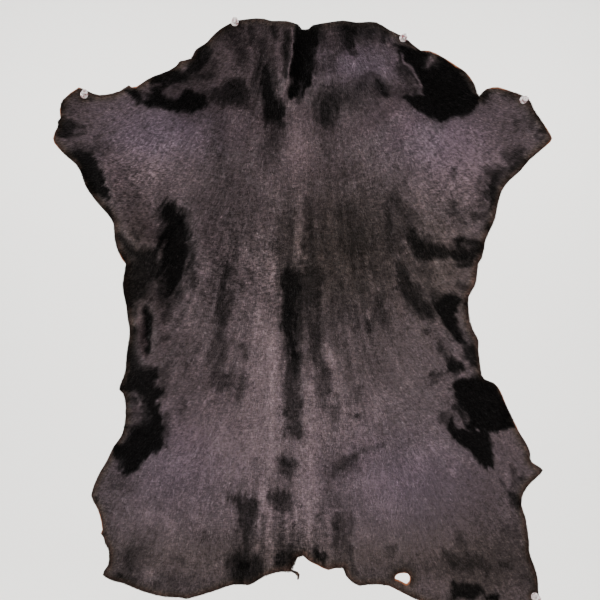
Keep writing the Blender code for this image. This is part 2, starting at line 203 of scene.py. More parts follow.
def shoot_at_hide():
    """(distance from the wall in mm, whether the hide is there) for each cell."""
    points = [vertex.co for vertex in hide_solid.data.vertices]
    tree = BVHTree.FromPolygons(points, [face.vertices for face in hide_solid.data.polygons])
    heights = np.zeros(grid_x.shape)
    covered = np.zeros(grid_x.shape, bool)
    towards_wall = Vector((0, 1, 0))
    for row, z in enumerate(map_z):
        for column, x in enumerate(map_x):
            hit = tree.ray_cast(Vector((x * MM, -1, z * MM)), towards_wall)[0]
            if hit is not None:
                heights[row, column] = -hit.y / MM
                covered[row, column] = True
    return heights, covered


def neighbours(field):
    """The four fields that are this one moved by one cell."""
    return [np.roll(field, step, axis) for axis in (0, 1) for step in (-1, 1)]


def spread_outwards(field, known):
    """Continues the map past the edge of the hide, so that slopes there stay true."""
    field, known = np.where(known, field, 0.0), known.copy()
    for _ in range(SPREAD_STEPS):
        count = sum(neighbours(known.astype(float)))
        total = sum(neighbours(field))
        new = ~known & (count > 0)
        field[new] = total[new] / count[new]
        known |= new
    return field


relief, covered = shoot_at_hide()
share = np.maximum(blur(covered.astype(float), FACET_BLUR), 1e-6)
relief = spread_outwards(blur(relief * covered, FACET_BLUR) / share, covered)
print(f"the hide stands up to {relief.max():.1f} mm off the wall")

# %% [markdown]
# Creases and patches of sheen are laid out as they look from in front, on the plane of
# the wall. For an eye a metre away, a raised fold covers a place on the wall that is a
# little further out than the place straight behind it. So each cell of the map also gets
# the place that it covers.

# %% Find the place on the wall that each cell covers
EYE_DISTANCE = 950.0  # mm from the wall, in front of the middle of the hide
MIDDLE_Z = -337.5

closeness = EYE_DISTANCE / (EYE_DISTANCE - relief)
wall_x = grid_x * closeness
wall_z = MIDDLE_Z + (grid_z - MIDDLE_Z) * closeness
shift = np.hypot(wall_x - grid_x, wall_z - grid_z)
print(f"folds cover the wall up to {shift.max():.1f} mm further out")

# %% [markdown]
# The solid carries every fold that shows from a step away. The sharpest little creases
# are narrower than its triangles, so they are pressed into the map here: each is a line
# of points with a lift, negative for a crease, that fades off to both sides. Where that
# leaves a valley too sharp for hair to lie in, the valley is filled a little.

# %% Press the fine creases into the map
# name: (fade to its left, fade to its right, [(x, z, lift), ...]), all in mm
FINE_CREASES = {
    "left cowl": (6, 6, [(-176, -54, -2), (-168, -70, -4), (-170, -86, -1)]),
    "thin ridge": (3, 4, [(-9, 4, 1), (-9, -16, 4), (-11, -40, 5), (-16, -66, 4), (-21, -86, 0)]),
    "neck ruck": (6, 6, [(46, 4, 1), (48, -14, 3), (42, -34, 0)]),
    "neck ruck, far right": (5, 6, [(98, 4, 1), (96, -14, 4), (92, -26, 0)]),
    "pocket pleat": (5, 5, [(163, -28, 3), (161, -42, 4), (158, -58, 0)]),
    "buckle": (3, 4, [(-190, -346, -1), (-188, -366, -6), (-191, -388, -6), (-189, -406, -1)]),
    "left hip, upper": (4, 4, [(-221, -478, 3), (-208, -474, 5), (-196, -479, 0)]),
    "left hip, lower": (4, 4, [(-221, -496, 3), (-210, -497, 5), (-202, -489, 0)]),
}
VALLEY_ROUNDING = 3.0
VALLEY_DROP = 0.5  # how far, in mm, a valley may lie below its rounded form


def off_line(x, z, start, end):
    """How far points lie off a straight line, across and up, and how far along it, from 0
    to 1, the place nearest to each is."""
    step_x, step_z = end[0] - start[0], end[1] - start[1]
    off_x, off_z = x - start[0], z - start[1]
    along = np.clip((off_x * step_x + off_z * step_z) / (step_x**2 + step_z**2), 0, 1)
    return off_x - along * step_x, off_z - along * step_z, along


def crease(fade_left, fade_right, line):
    """The lift that one crease adds to each cell of the map."""
    nearest = np.full(grid_x.shape, np.inf)
    lift = np.zeros(grid_x.shape)
    for start, end in zip(line, line[1:]):
        off_x, off_z, along = off_line(wall_x, wall_z, start, end)
        side = (end[0] - start[0]) * off_z - (end[1] - start[1]) * off_x
        distance = np.hypot(off_x, off_z) / np.where(side > 0, fade_left, fade_right)
        nearer = distance < nearest
        nearest[nearer] = distance[nearer]
        lift[nearer] = (start[2] + along * (end[2] - start[2]))[nearer]
    return lift * np.exp(-2 * nearest**2)


for settings in FINE_CREASES.values():
    relief += crease(*settings)
rounded = blur(relief, VALLEY_ROUNDING) - VALLEY_DROP
print(f"{(rounded > relief).sum()} cells of narrow valleys filled to their rounded form")
relief = np.maximum(relief, rounded)
slope_z, slope_x = np.gradient(relief, MAP_STEP)
print(f"{len(FINE_CREASES)} fine creases, steepest slope {np.hypot(slope_x, slope_z).max():.1f}")


def on_hide(x, z, rise):
    """Points over the map at x, z (mm), lifted along the surface's normal by rise (mm)."""
    across, up = sample(slope_x, x, z), sample(slope_z, x, z)
    steep = np.sqrt(1 + across**2 + up**2)
    height = sample(relief, x, z)
    return np.stack([x - rise * across / steep, -height - rise / steep, z - rise * up / steep], -1)


# %% [markdown]
# ## The skin
#
# The skin is a sheet 1.2 mm thick: a black grain side that the hair grows from, a suede
# flesh side that faces the wall, and a raw cut edge. It could be a copy of the solid, but
# the solid has the thickness of skin and coat together. So its front is taken off as a
# bare surface, divided once for softer curves, laid on the height map under the coat,
# and given a back and an edge of its own.

# %% Take the front surface off the solid
SHARP_EDGE = math.radians(65)
FACES_FRONT = -0.8  # the most that y may be in the normal of a triangle to start from


def front_of_solid():
    """The hair side of the solid as a mesh of its own: all that can be reached from its
    middle without going over a sharp edge."""
    sheet = bmesh.new()
    sheet.from_mesh(hide_solid.data)
    bmesh.ops.remove_doubles(sheet, verts=sheet.verts, dist=1e-6)
    sheet.normal_update()
    middle = (hide_low + hide_high) / 2
    faces = [face for face in sheet.faces if face.normal.y < FACES_FRONT]
    start = min(faces, key=lambda face: (face.calc_center_median() - middle).xz.length)
    reached, waiting = {start}, [start]
    while waiting:
        for edge in waiting.pop().edges:
            if edge.calc_face_angle(math.pi) > SHARP_EDGE:
                continue
            beyond = set(edge.link_faces) - reached
            reached |= beyond
            waiting.extend(beyond)
    others = [face for face in sheet.faces if face not in reached]
    bmesh.ops.delete(sheet, geom=others, context="FACES")
    return sheet


def loops_of(sheet):
    """The edge of the sheet and of its holes, each as a list of vertices in order."""
    border = {edge for edge in sheet.edges if edge.is_boundary}
    loops = []
    while border:
        edge = border.pop()
        loop = list(edge.verts)
        while True:
            onward = [e for e in loop[-1].link_edges if e in border]
            if not onward:
                break
            border.remove(onward[0])
            loop.append(onward[0].other_vert(loop[-1]))
        loops.append(loop[:-1] if loop[0] is loop[-1] else loop)
    return loops


sheet = front_of_solid()
print(f"front of the solid: {len(sheet.faces)} triangles, {len(loops_of(sheet))} loops")

# %% [markdown]
# Dividing a triangle mesh puts each new point of the cut edge in the middle of a straight
# bit. The four-point rule moves it onto the curve through its neighbours, except beside a
# real corner, and so the knife's line comes out smooth where it is smooth.

# %% Divide the sheet and round its cut edge
CORNER = math.radians(38)


def turn_at(before, here, after):
    """The angle that the cut edge turns by at a point, between its two neighbours."""
    one, two = (here - before).xz, (after - here).xz
    return one.angle(two, 0)


def divide(sheet):
    """Cuts each triangle in four and sets the new points of the cut edge on a curve."""
    places = {}
    for loop in loops_of(sheet):
        count = len(loop)
        for i, vertex in enumerate(loop):
            far_back, one, two, far_on = (loop[(i + k) % count].co for k in (-1, 0, 1, 2))
            if max(turn_at(far_back, one, two), turn_at(one, two, far_on)) < CORNER:
                ends = frozenset((vertex, loop[(i + 1) % count]))
                places[ends] = (one + two) * 9 / 16 - (far_back + far_on) / 16
    old = set(sheet.verts)
    bmesh.ops.subdivide_edges(sheet, edges=sheet.edges[:], cuts=1, use_grid_fill=True)
    for vertex in sheet.verts:
        if vertex in old or not vertex.is_boundary:
            continue
        beside = [edge.other_vert(vertex) for edge in vertex.link_edges if edge.is_boundary]
        vertex.co = places.get(frozenset(beside), vertex.co)


divide(sheet)
bmesh.ops.triangulate(sheet, faces=sheet.faces[:])
sheet.verts.index_update()
sheet_points = np.array([vertex.co for vertex in sheet.verts]) / MM
sheet_faces = np.array([[vertex.index for vertex in face.verts] for face in sheet.faces])
sheet_loops = [[vertex.index for vertex in loop] for loop in loops_of(sheet)]
sheet.free()
print(f"divided sheet: {len(sheet_faces)} triangles")

# %% [markdown]
# Hair needs to know how far it is from the cut edge, because a knife on the flesh side
# leaves whole hairs that reach past it, but not by much. A k-d tree over points along the
# edge answers that for each cell of the map.

# %% Measure the distance to the cut edge
EDGE_STEP = 0.6


def points_along(loop):
    """Points along one loop of the cut edge, an even small step apart."""
    corners = sheet_points[loop + loop[:1]][:, [0, 2]]
    for start, end in zip(corners, corners[1:]):
        count = max(1, round(np.linalg.norm(end - start) / EDGE_STEP))
        for k in range(count):
            yield start + (end - start) * k / count


edge_points = [point for loop in sheet_loops for point in points_along(loop)]
edge_tree = KDTree(len(edge_points))
for index, (x, z) in enumerate(edge_points):
    edge_tree.insert((x, z, 0), index)
edge_tree.balance()

edge_distance = np.zeros(grid_x.shape)
for row, z in enumerate(map_z):
    for column, x in enumerate(map_x):
        edge_distance[row, column] = edge_tree.find((x, z, 0))[2]
edge_distance[~covered] *= -1
inside_edge = np.maximum(edge_distance, 0)
area = covered.sum() * (MAP_STEP * MM) ** 2
print(f"{len(edge_points)} points along the edge; the hide covers {area:.3f} square metres")

# %% [markdown]
# Along most of the cut the coat hides the leather. In some places the knife slanted, or
# the edge was trimmed, and a thin band of bare leather shows. These places, and later
# the patches of sheen, are counted on a square grid over the wall: so many lines across
# from the left and so many down from the top.

# %% Mark where the raw edge shows
GRID_PITCH = 1.25  # mm
NOTCH_ACROSS, NOTCH_DOWN = 300, 30  # the notch in the neck edge, where x and z are 0
wall_across = NOTCH_ACROSS + wall_x / GRID_PITCH
wall_down = NOTCH_DOWN - wall_z / GRID_PITCH

# name: (across, down, reach), in grid lines
RAW_EDGES = {
    "left hoof": (57, 140, 9),
    "left wrist": (63, 112, 6),
    "left pin": (74, 92, 8),
    "cowl": (136, 86, 5),
    "pocket top": (432, 54, 8),
    "pocket": (452, 64, 10),
    "pocket low": (468, 78, 6),
    "right hoof": (545, 135, 14),
    "right wrist": (500, 89, 10),
    "right thigh": (500, 396, 10),
    "right knee": (514, 428, 8),
    "eyelet": (402, 579, 14),
    "tail": (320, 566, 14),
    "left flank": (122, 258, 6),
    "left hind leg": (104, 520, 16),
}
RAW_FADE = 1.5  # how many reaches from its middle a place has faded out

raw = np.zeros(grid_x.shape)
for across, down, reach in RAW_EDGES.values():
    distance = np.hypot(wall_across - across, wall_down - down)
    raw = np.maximum(raw, np.clip(RAW_FADE - distance / reach, 0, 1))
print(f"raw edges: {len(RAW_EDGES)} places")

# %% [markdown]
# Three surfaces show on the skin. The grain side was dyed with the coat, so it is nearly
# black, with a pore at the foot of each hair, and along a raw edge the dye gives way to
# the rust brown of the tanned leather. The flesh side is suede: a fibre fuzz that takes
# the light softly, in the uneven tan of a drum-dyed back. The cut edge is a section
# through all of it. Pores lie 0.3 mm apart in truth, which is too fine to show, so they
# are drawn 1.2 mm apart. Fibre fuzz is 0.1 mm fine and is drawn at 1 mm.

# %% Skin materials
PORES, FIBRES, MOTTLES, CLOUDS = 830.0, 1000.0, 250.0, 16.0  # to a metre
BARED = (0.0016, 0.0032)  # where the dye starts and where it is full, m from the cut


def grain_side():
    """Dyed black leather with pores, and tanned brown where the raw edge is bare."""
    material, shader = new_material("aniline-dyed leather, grain side")
    pores = texture(material, "TexVoronoi", PORES)
    mottle = texture(material, "TexNoise", MOTTLES, Detail=4.0)
    near = rescale(material, number_on_points(material, "from_edge"), BARED, (1, 0))
    bared = product(material, near, number_on_points(material, "raw"))
    dyed = ramp(material, pores, ["#060505", "#1d1815"])
    tanned = ramp(material, mottle, ["#47210f", "#b0663a"])
    links = {0: bared, 6: dyed, 7: tanned}
    colour = add_node(material, "Mix", links, data_type="RGBA").outputs[2]
    normal = bumps(material, pores, 0.4, 0.0003)
    wire(material, shader, {"Base Color": colour, "Normal": normal}, {"Roughness": 0.68})
    return material


def fibre_material(name, colours, fuzz, depth, sheen):
    """Suede and cut leather: clouds of colour, broken up by a bumpy fibre fuzz."""
    material, shader = new_material(name)
    clouds = texture(material, "TexNoise", CLOUDS, Detail=6.0)
    fibres = texture(material, "TexNoise", FIBRES, Detail=3.0)
    swing = rescale(material, fibres, NOISE_SPAN, (1 - fuzz, 1 + fuzz))
    links = {"Color": ramp(material, clouds, colours), "Value": swing}
    worn = add_node(material, "HueSaturation", links).outputs["Color"]
    links = {"Base Color": worn, "Normal": bumps(material, fibres, 0.5, depth)}
    values = {"Roughness": 0.93, "Sheen Weight": sheen, "Sheen Roughness": 0.5}
    wire(material, shader, links, values)
    return material


grain_leather = grain_side()
suede = fibre_material("split suede, flesh side", ["#6b5240", "#b39470"], 0.18, 0.0005, 0.3)
cut_leather = fibre_material("knife-cut leather edge", ["#4c2716", "#a8663c"], 0.3, 0.0002, 0.0)
print(f"pores {1000 / PORES:.1f} mm and fibres {1000 / FIBRES:.1f} mm apart")

# %% [markdown]
# The skin is built from arrays: the same triangles twice, once for each side, and a band
# of triangles round the cut that joins them. Two numbers ride on its points, for the
# material: how far each is from the cut edge, and whether the edge is raw there.

# %% Make the skin
COAT_DEPTH = 1.6
SKIN_THICKNESS = 1.2
SKIN_GAP = 0.3  # how far the skin stays under the roots of the hair
BACK_SIDE, CUT_EDGE = 1, 2


def mesh_object(name, points, faces, materials, numbers, face_materials=None):
    """A mesh object from arrays of points in mm and of triangles, riding on the part, with
    numbers on its points for the materials to read."""
    mesh = bpy.data.meshes.new(name)
    mesh.vertices.add(len(points))
    mesh.vertices.foreach_set("co", (points * MM).astype(np.float32).ravel())
    mesh.loops.add(faces.size)
    mesh.loops.foreach_set("vertex_index", faces.astype(np.int32).ravel())
    mesh.polygons.add(len(faces))
    mesh.polygons.foreach_set("loop_start", np.arange(0, faces.size, 3, dtype=np.int32))
    for material in materials:
        mesh.materials.append(material)
    if face_materials is not None:
        mesh.polygons.foreach_set("material_index", face_materials.astype(np.int32))
    mesh.update(calc_edges=True)
    for kind, values in numbers.items():
        attribute = mesh.attributes.new(kind, "FLOAT", "POINT")
        attribute.data.foreach_set("value", values.astype(np.float32))
    piece = new_object(name, mesh)
    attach(piece, "root")
    return piece


def make_skin(materials):
    """The skin as a piece: the grain side, the flesh side, and the rim of the cut."""
    x, z = sheet_points[:, 0], sheet_points[:, 2]
    grain = on_hide(x, z, -(COAT_DEPTH + SKIN_GAP))
    flesh = on_hide(x, z, -(COAT_DEPTH + SKIN_THICKNESS))
    count = len(grain)
    a, b, c = (sheet_points[sheet_faces[:, k]][:, [0, 2]] for k in range(3))
    turned = (b[:, 0] - a[:, 0]) * (c[:, 1] - a[:, 1]) - (b[:, 1] - a[:, 1]) * (c[:, 0] - a[:, 0])
    outward = np.where((turned > 0)[:, None], sheet_faces, sheet_faces[:, ::-1])
    edges = np.concatenate([outward[:, [0, 1]], outward[:, [1, 2]], outward[:, [2, 0]]])
    both = {tuple(edge) for edge in edges.tolist()}
    border = np.array([edge for edge in edges.tolist() if (edge[1], edge[0]) not in both])
    start, end = border[:, 0], border[:, 1]
    triangles = [(end, start, start + count), (end, start + count, end + count)]
    rim = np.concatenate([np.stack(corners, 1) for corners in triangles])
    faces = np.concatenate([outward, outward[:, ::-1] + count, rim])
    kinds = np.repeat([0, BACK_SIDE, CUT_EDGE], [len(outward), len(outward), len(rim)])
    from_edge = sample(edge_distance, x, z).clip(0) * MM
    for loop in sheet_loops:
        from_edge[loop] = 0.0
    numbers = {"from_edge": np.tile(from_edge, 2), "raw": np.tile(sample(raw, x, z), 2)}
    skin = mesh_object("skin", np.concatenate([grain, flesh]), faces, materials, numbers, kinds)
    skin.data.polygons.foreach_set("use_smooth", kinds != CUT_EDGE)
    return skin


skin = make_skin([grain_leather, suede, cut_leather])
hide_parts("hide")
print(f"skin: {len(skin.data.polygons)} triangles")

# %% [markdown]
# ## The nap
#
# Hair does not stand on a hide: it lies along the nap, which runs from the neck down the
# spine to the tail, and falls away to the flanks and down each leg. A few named places
# with a direction each, blended by distance, give a smooth map of it.

# %% Lay out the nap
# name: (x, z, direction in degrees from straight down, positive towards +x)
NAP_PLACES = {
    "neck": (0, -30, 0),
    "neck left": (-90, -40, -25),
    "neck right": (90, -40, 25),
    "cowl left": (-170, -80, -40),
    "cowl right": (180, -80, 40),
    "left foreleg": (-265, -110, -80),
    "right foreleg": (270, -115, 80),
    "left shoulder": (-190, -190, -35),
    "right shoulder": (190, -190, 35),
    "withers": (0, -160, 0),
    "back": (0, -360, 0),
    "left ribs": (-110, -330, -12),
    "right ribs": (110, -330, 12),
    "left belly": (-200, -360, -50),
    "right belly": (205, -360, 50),
    "loin": (0, -520, 0),
    "left flank": (-170, -480, -35),
    "right flank": (180, -480, 35),
    "left hind leg": (-210, -640, -25),
    "right hind leg": (230, -650, 30),
    "rump left": (-80, -620, -8),
    "rump right": (80, -620, 8),
}
NAP_REACH = 35.0
LEAST_WEIGHT = 1e-6

nap_x, nap_z = np.zeros(grid_x.shape), np.zeros(grid_x.shape)
for x, z, degrees in NAP_PLACES.values():
    weight = np.exp(-np.hypot(wall_x - x, wall_z - z) / NAP_REACH) + LEAST_WEIGHT
    nap_x += weight * math.sin(math.radians(degrees))
    nap_z -= weight * math.cos(math.radians(degrees))
size = np.hypot(nap_x, nap_z)
nap_x, nap_z = nap_x / size, nap_z / size
print(f"nap: {len(NAP_PLACES)} places")

# %% [markdown]
# ## Where the coat shines
#
# A black coat is not black all over. Where the nap turns its side to the light it shines
# mauve-grey, and where it turns its tips to the light it swallows it. The real sheen is
# the sum of hair lying this way and that at a finer scale than any model holds, so it is
# painted into the colour of the hairs instead, as patches and lines: painted sheen where
# the coat catches the light, and painted shade in its folds. Their edges must not look
# drawn, so first comes the noise that makes them wander, and feather along the nap.

# %% Noise for the coat
FEATHER_REACH, FEATHER_BLUR = 9.0, 1.2
RAGGED = [(5.0, 1.3), (1.8, 0.6)]  # (size, reach) of the wobble of each patch's edge, mm
SEED = 20

random = np.random.default_rng(SEED)


def even(noise):
    """The noise with a standard deviation of 1."""
    return noise / noise.std()


def smooth_noise(radius):
    """Noise of one size of blob, with mean 0 and standard deviation 1."""
    noise = blur(random.normal(size=grid_x.shape), radius)
    return even(noise - noise.mean())


def smeared_noise(direction_x, direction_z, reach):
    """Noise smeared by reach mm both ways along a direction, mean 0, standard deviation 1."""
    noise = random.normal(size=grid_x.shape)
    total = noise.copy()
    for sign in (-1, 1):
        x, z = grid_x.copy(), grid_z.copy()
        for _ in range(int(reach / MAP_STEP)):
            x = x + sign * MAP_STEP * sample(direction_x, x, z)
            z = z + sign * MAP_STEP * sample(direction_z, x, z)
            total += sample(noise, x, z)
    return even(total - blur(total, 2 * reach))


def wobble():
    """How far the patches are moved along one axis, in grid lines."""
    return sum(reach * smooth_noise(size) for size, reach in RAGGED) / GRID_PITCH


feather = even(blur(smeared_noise(nap_x, nap_z, FEATHER_REACH), FEATHER_BLUR))
patch_across = wall_across + wobble()
patch_down = wall_down - wobble()
wandering = (patch_across - wall_across).std() * GRID_PITCH
print(f"edges of patches wander by {wandering:.1f} mm")

# %% [markdown]
# Broad soft patches are laid first, then the clear black ones, painted shade by the folds,
# then single lines. Each has the shade, painted into the hair, that it should come out
# with, from 0, jet black, to about 120, the brightest shine. The coat doesn't answer to its
# sheen evenly, so a short curve says which sheen, from 0 to 1, gives which shade in this
# light. Smaller tables say where the coat is brown or mauve, where it is ruffled, and
# where it is streaked along the nap.

# %% Places of the sheen, tint and ruffle
# (shade, the sheen that gives it), straight in between
SHEEN_OF_SHADE = [(4, 0), (20, 0.21), (40, 0.41), (120, 0.96)]
OPEN_SHADE = 78

# name: (across, down, half width, half height, lean in degrees, shade, strength)
SOFT_PATCHES = {
    "neck left": (240, 44, 44, 34, 0, 46, 0.95),
    "neck right, edge": (352, 33, 55, 14, 0, 36, 0.85),
    "neck right, lit": (368, 62, 34, 13, 0, 78, 0.9),
    "neck right, band": (358, 90, 46, 10, 0, 42, 0.95),
    "upper left": (170, 122, 70, 12, 0, 72, 0.6),
    "left foreleg": (95, 118, 26, 18, 0, 72, 0.5),
    "left shoulder": (158, 160, 48, 34, 0, 98, 0.85),
    "left chest": (222, 175, 24, 52, 0, 62, 0.75),
    "left chest band": (220, 155, 7, 34, 0, 54, 0.6),
    "throat foot": (274, 140, 11, 26, 0, 52, 0.75),
    "withers": (299, 156, 15, 42, 0, 104, 0.9),
    "right of withers": (328, 118, 14, 30, 0, 42, 0.75),
    "right chest": (350, 150, 18, 24, 0, 82, 0.5),
    "chest right dip": (342, 188, 12, 26, 0, 58, 0.6),
    "right shoulder": (450, 160, 50, 40, 0, 101, 0.9),
    "right shoulder edge": (405, 188, 14, 36, 0, 62, 0.6),
    "left back": (212, 225, 40, 46, 0, 60, 0.75),
    "right back shade": (354, 240, 62, 56, 0, 42, 0.97),
    "right ribs": (348, 316, 50, 34, 0, 50, 0.9),
    "right ribs, low": (370, 362, 40, 30, 0, 68, 0.6),
    "left of spine": (263, 350, 16, 84, 0, 104, 0.95),
    "left of spine, top": (262, 262, 14, 34, 0, 76, 0.7),
    "left loin": (228, 438, 56, 34, 0, 102, 0.9),
    "right loin": (330, 420, 40, 40, 0, 96, 0.75),
    "left ribs open": (186, 340, 20, 46, 0, 74, 0.6),
    "right haunch": (372, 470, 40, 30, 0, 92, 0.6),
    "left rump": (170, 500, 52, 36, 0, 86, 0.6),
    "left hock": (128, 556, 30, 24, 0, 58, 0.7),
    "left rump edge": (165, 584, 50, 12, 0, 52, 0.6),
    "right thigh": (476, 520, 44, 46, 0, 66, 0.75),
    "right rump edge": (385, 572, 62, 16, 0, 64, 0.6),
    "right hind leg": (490, 570, 52, 24, 0, 45, 0.9),
    "right wrist": (524, 122, 18, 20, 0, 58, 0.5),
    "left belly": (134, 290, 24, 40, 0, 22, 0.8),
    "spine, left hollow": (288, 236, 8, 46, 0, 46, 0.85),
    "spine, right hollow": (312, 240, 7, 36, 0, 34, 0.5),
    "right rump column": (310, 500, 10, 48, 0, 106, 0.8),
    "left rump column": (266, 520, 7, 50, 0, 96, 0.7),
    "tail shade": (286, 540, 8, 24, 0, 46, 0.75),
    "right rump shade 2": (343, 536, 9, 28, 0, 46, 0.85),
    "right rump shade": (340, 466, 14, 10, 20, 54, 0.85),
    "cowl grey": (196, 96, 30, 26, 0, 40, 0.5),
    "left chest spot": (176, 106, 22, 8, 0, 40, 0.6),
    "chest right upper": (360, 108, 15, 14, 0, 50, 0.7),
    "left rib notch": (194, 282, 8, 12, 0, 48, 0.65),
    "left hip low": (122, 478, 10, 8, 0, 50, 0.6),
    "left elbow side": (134, 208, 18, 22, 0, 62, 0.7),
    "left back, inner": (250, 214, 12, 40, 0, 62, 0.6),
    "flap shade": (409, 76, 6, 9, 0, 48, 0.7),
    "right shoulder, low": (464, 220, 20, 22, 0, 62, 0.7),
    "left rump lower": (232, 553, 10, 16, 0, 44, 0.8),
    "left rump bright": (180, 466, 24, 15, 0, 102, 0.6),
    "left loin bright": (226, 466, 24, 28, 0, 103, 0.5),
    "left shoulder, top": (194, 136, 16, 13, 0, 98, 0.6),
    "right haunch bright": (380, 504, 32, 34, 0, 93, 0.65),
    "right haunch top": (430, 452, 26, 14, 0, 93, 0.6),
    "right flank edge": (440, 302, 9, 15, 0, 32, 0.7),
    "lobe notch": (452, 424, 5, 6, 0, 32, 0.7),
    "hind leg side": (524, 560, 16, 30, 0, 46, 0.6),
    "brow left": (224, 36, 12, 12, 0, 42, 0.7),
    "throat between": (250, 98, 10, 10, 0, 40, 0.6),
    "throat low": (276, 134, 9, 14, 0, 36, 0.7),
    "right brow": (362, 27, 28, 9, 0, 30, 0.75),
    "left wrist pale": (84, 104, 12, 10, 0, 62, 0.5),
    "curl shade": (84, 148, 16, 6, 0, 34, 0.7),
    "belly ringlets": (168, 296, 9, 9, 0, 28, 0.6),
    "left rump centre black": (248, 567, 10, 9, 0, 10, 0.9),
    "left hock 2": (138, 556, 13, 12, 0, 44, 0.6),
    "left rump edge 2": (169, 580, 14, 12, 0, 46, 0.7),
    "left edge low": (108, 496, 9, 18, 0, 52, 0.6),
    "left edge low 2": (112, 540, 8, 14, 0, 56, 0.6),
    "right hind speckle": (512, 474, 8, 20, 0, 58, 0.5),
    "right hind low": (508, 540, 22, 24, 0, 50, 0.6),
    "haunch dip": (339, 525, 8, 16, 0, 40, 0.7),
    "haunch foot": (396, 562, 26, 10, 0, 66, 0.5),
    "right back warm": (388, 240, 14, 40, 0, 44, 0.6),
    "right ribs left": (340, 300, 10, 30, 0, 56, 0.5),
    "arch shade": (366, 88, 24, 8, 0, 40, 0.6),
    "throat right": (342, 98, 12, 8, 0, 34, 0.7),
    "crown right": (330, 60, 10, 14, 0, 52, 0.5),
    "curl right": (100, 152, 9, 12, 0, 44, 0.5),
    "left elbow column": (136, 212, 8, 24, 0, 54, 0.5),
    "left hock top": (126, 487, 16, 9, 0, 52, 0.65),
    "rump foot": (209, 557, 13, 12, 0, 58, 0.55),
    "tail left dark": (286, 550, 11, 8, 0, 32, 0.7),
    "elbow under": (424, 270, 9, 7, 0, 36, 0.75),
    "left rib side": (163, 374, 6, 14, 0, 44, 0.6),
}

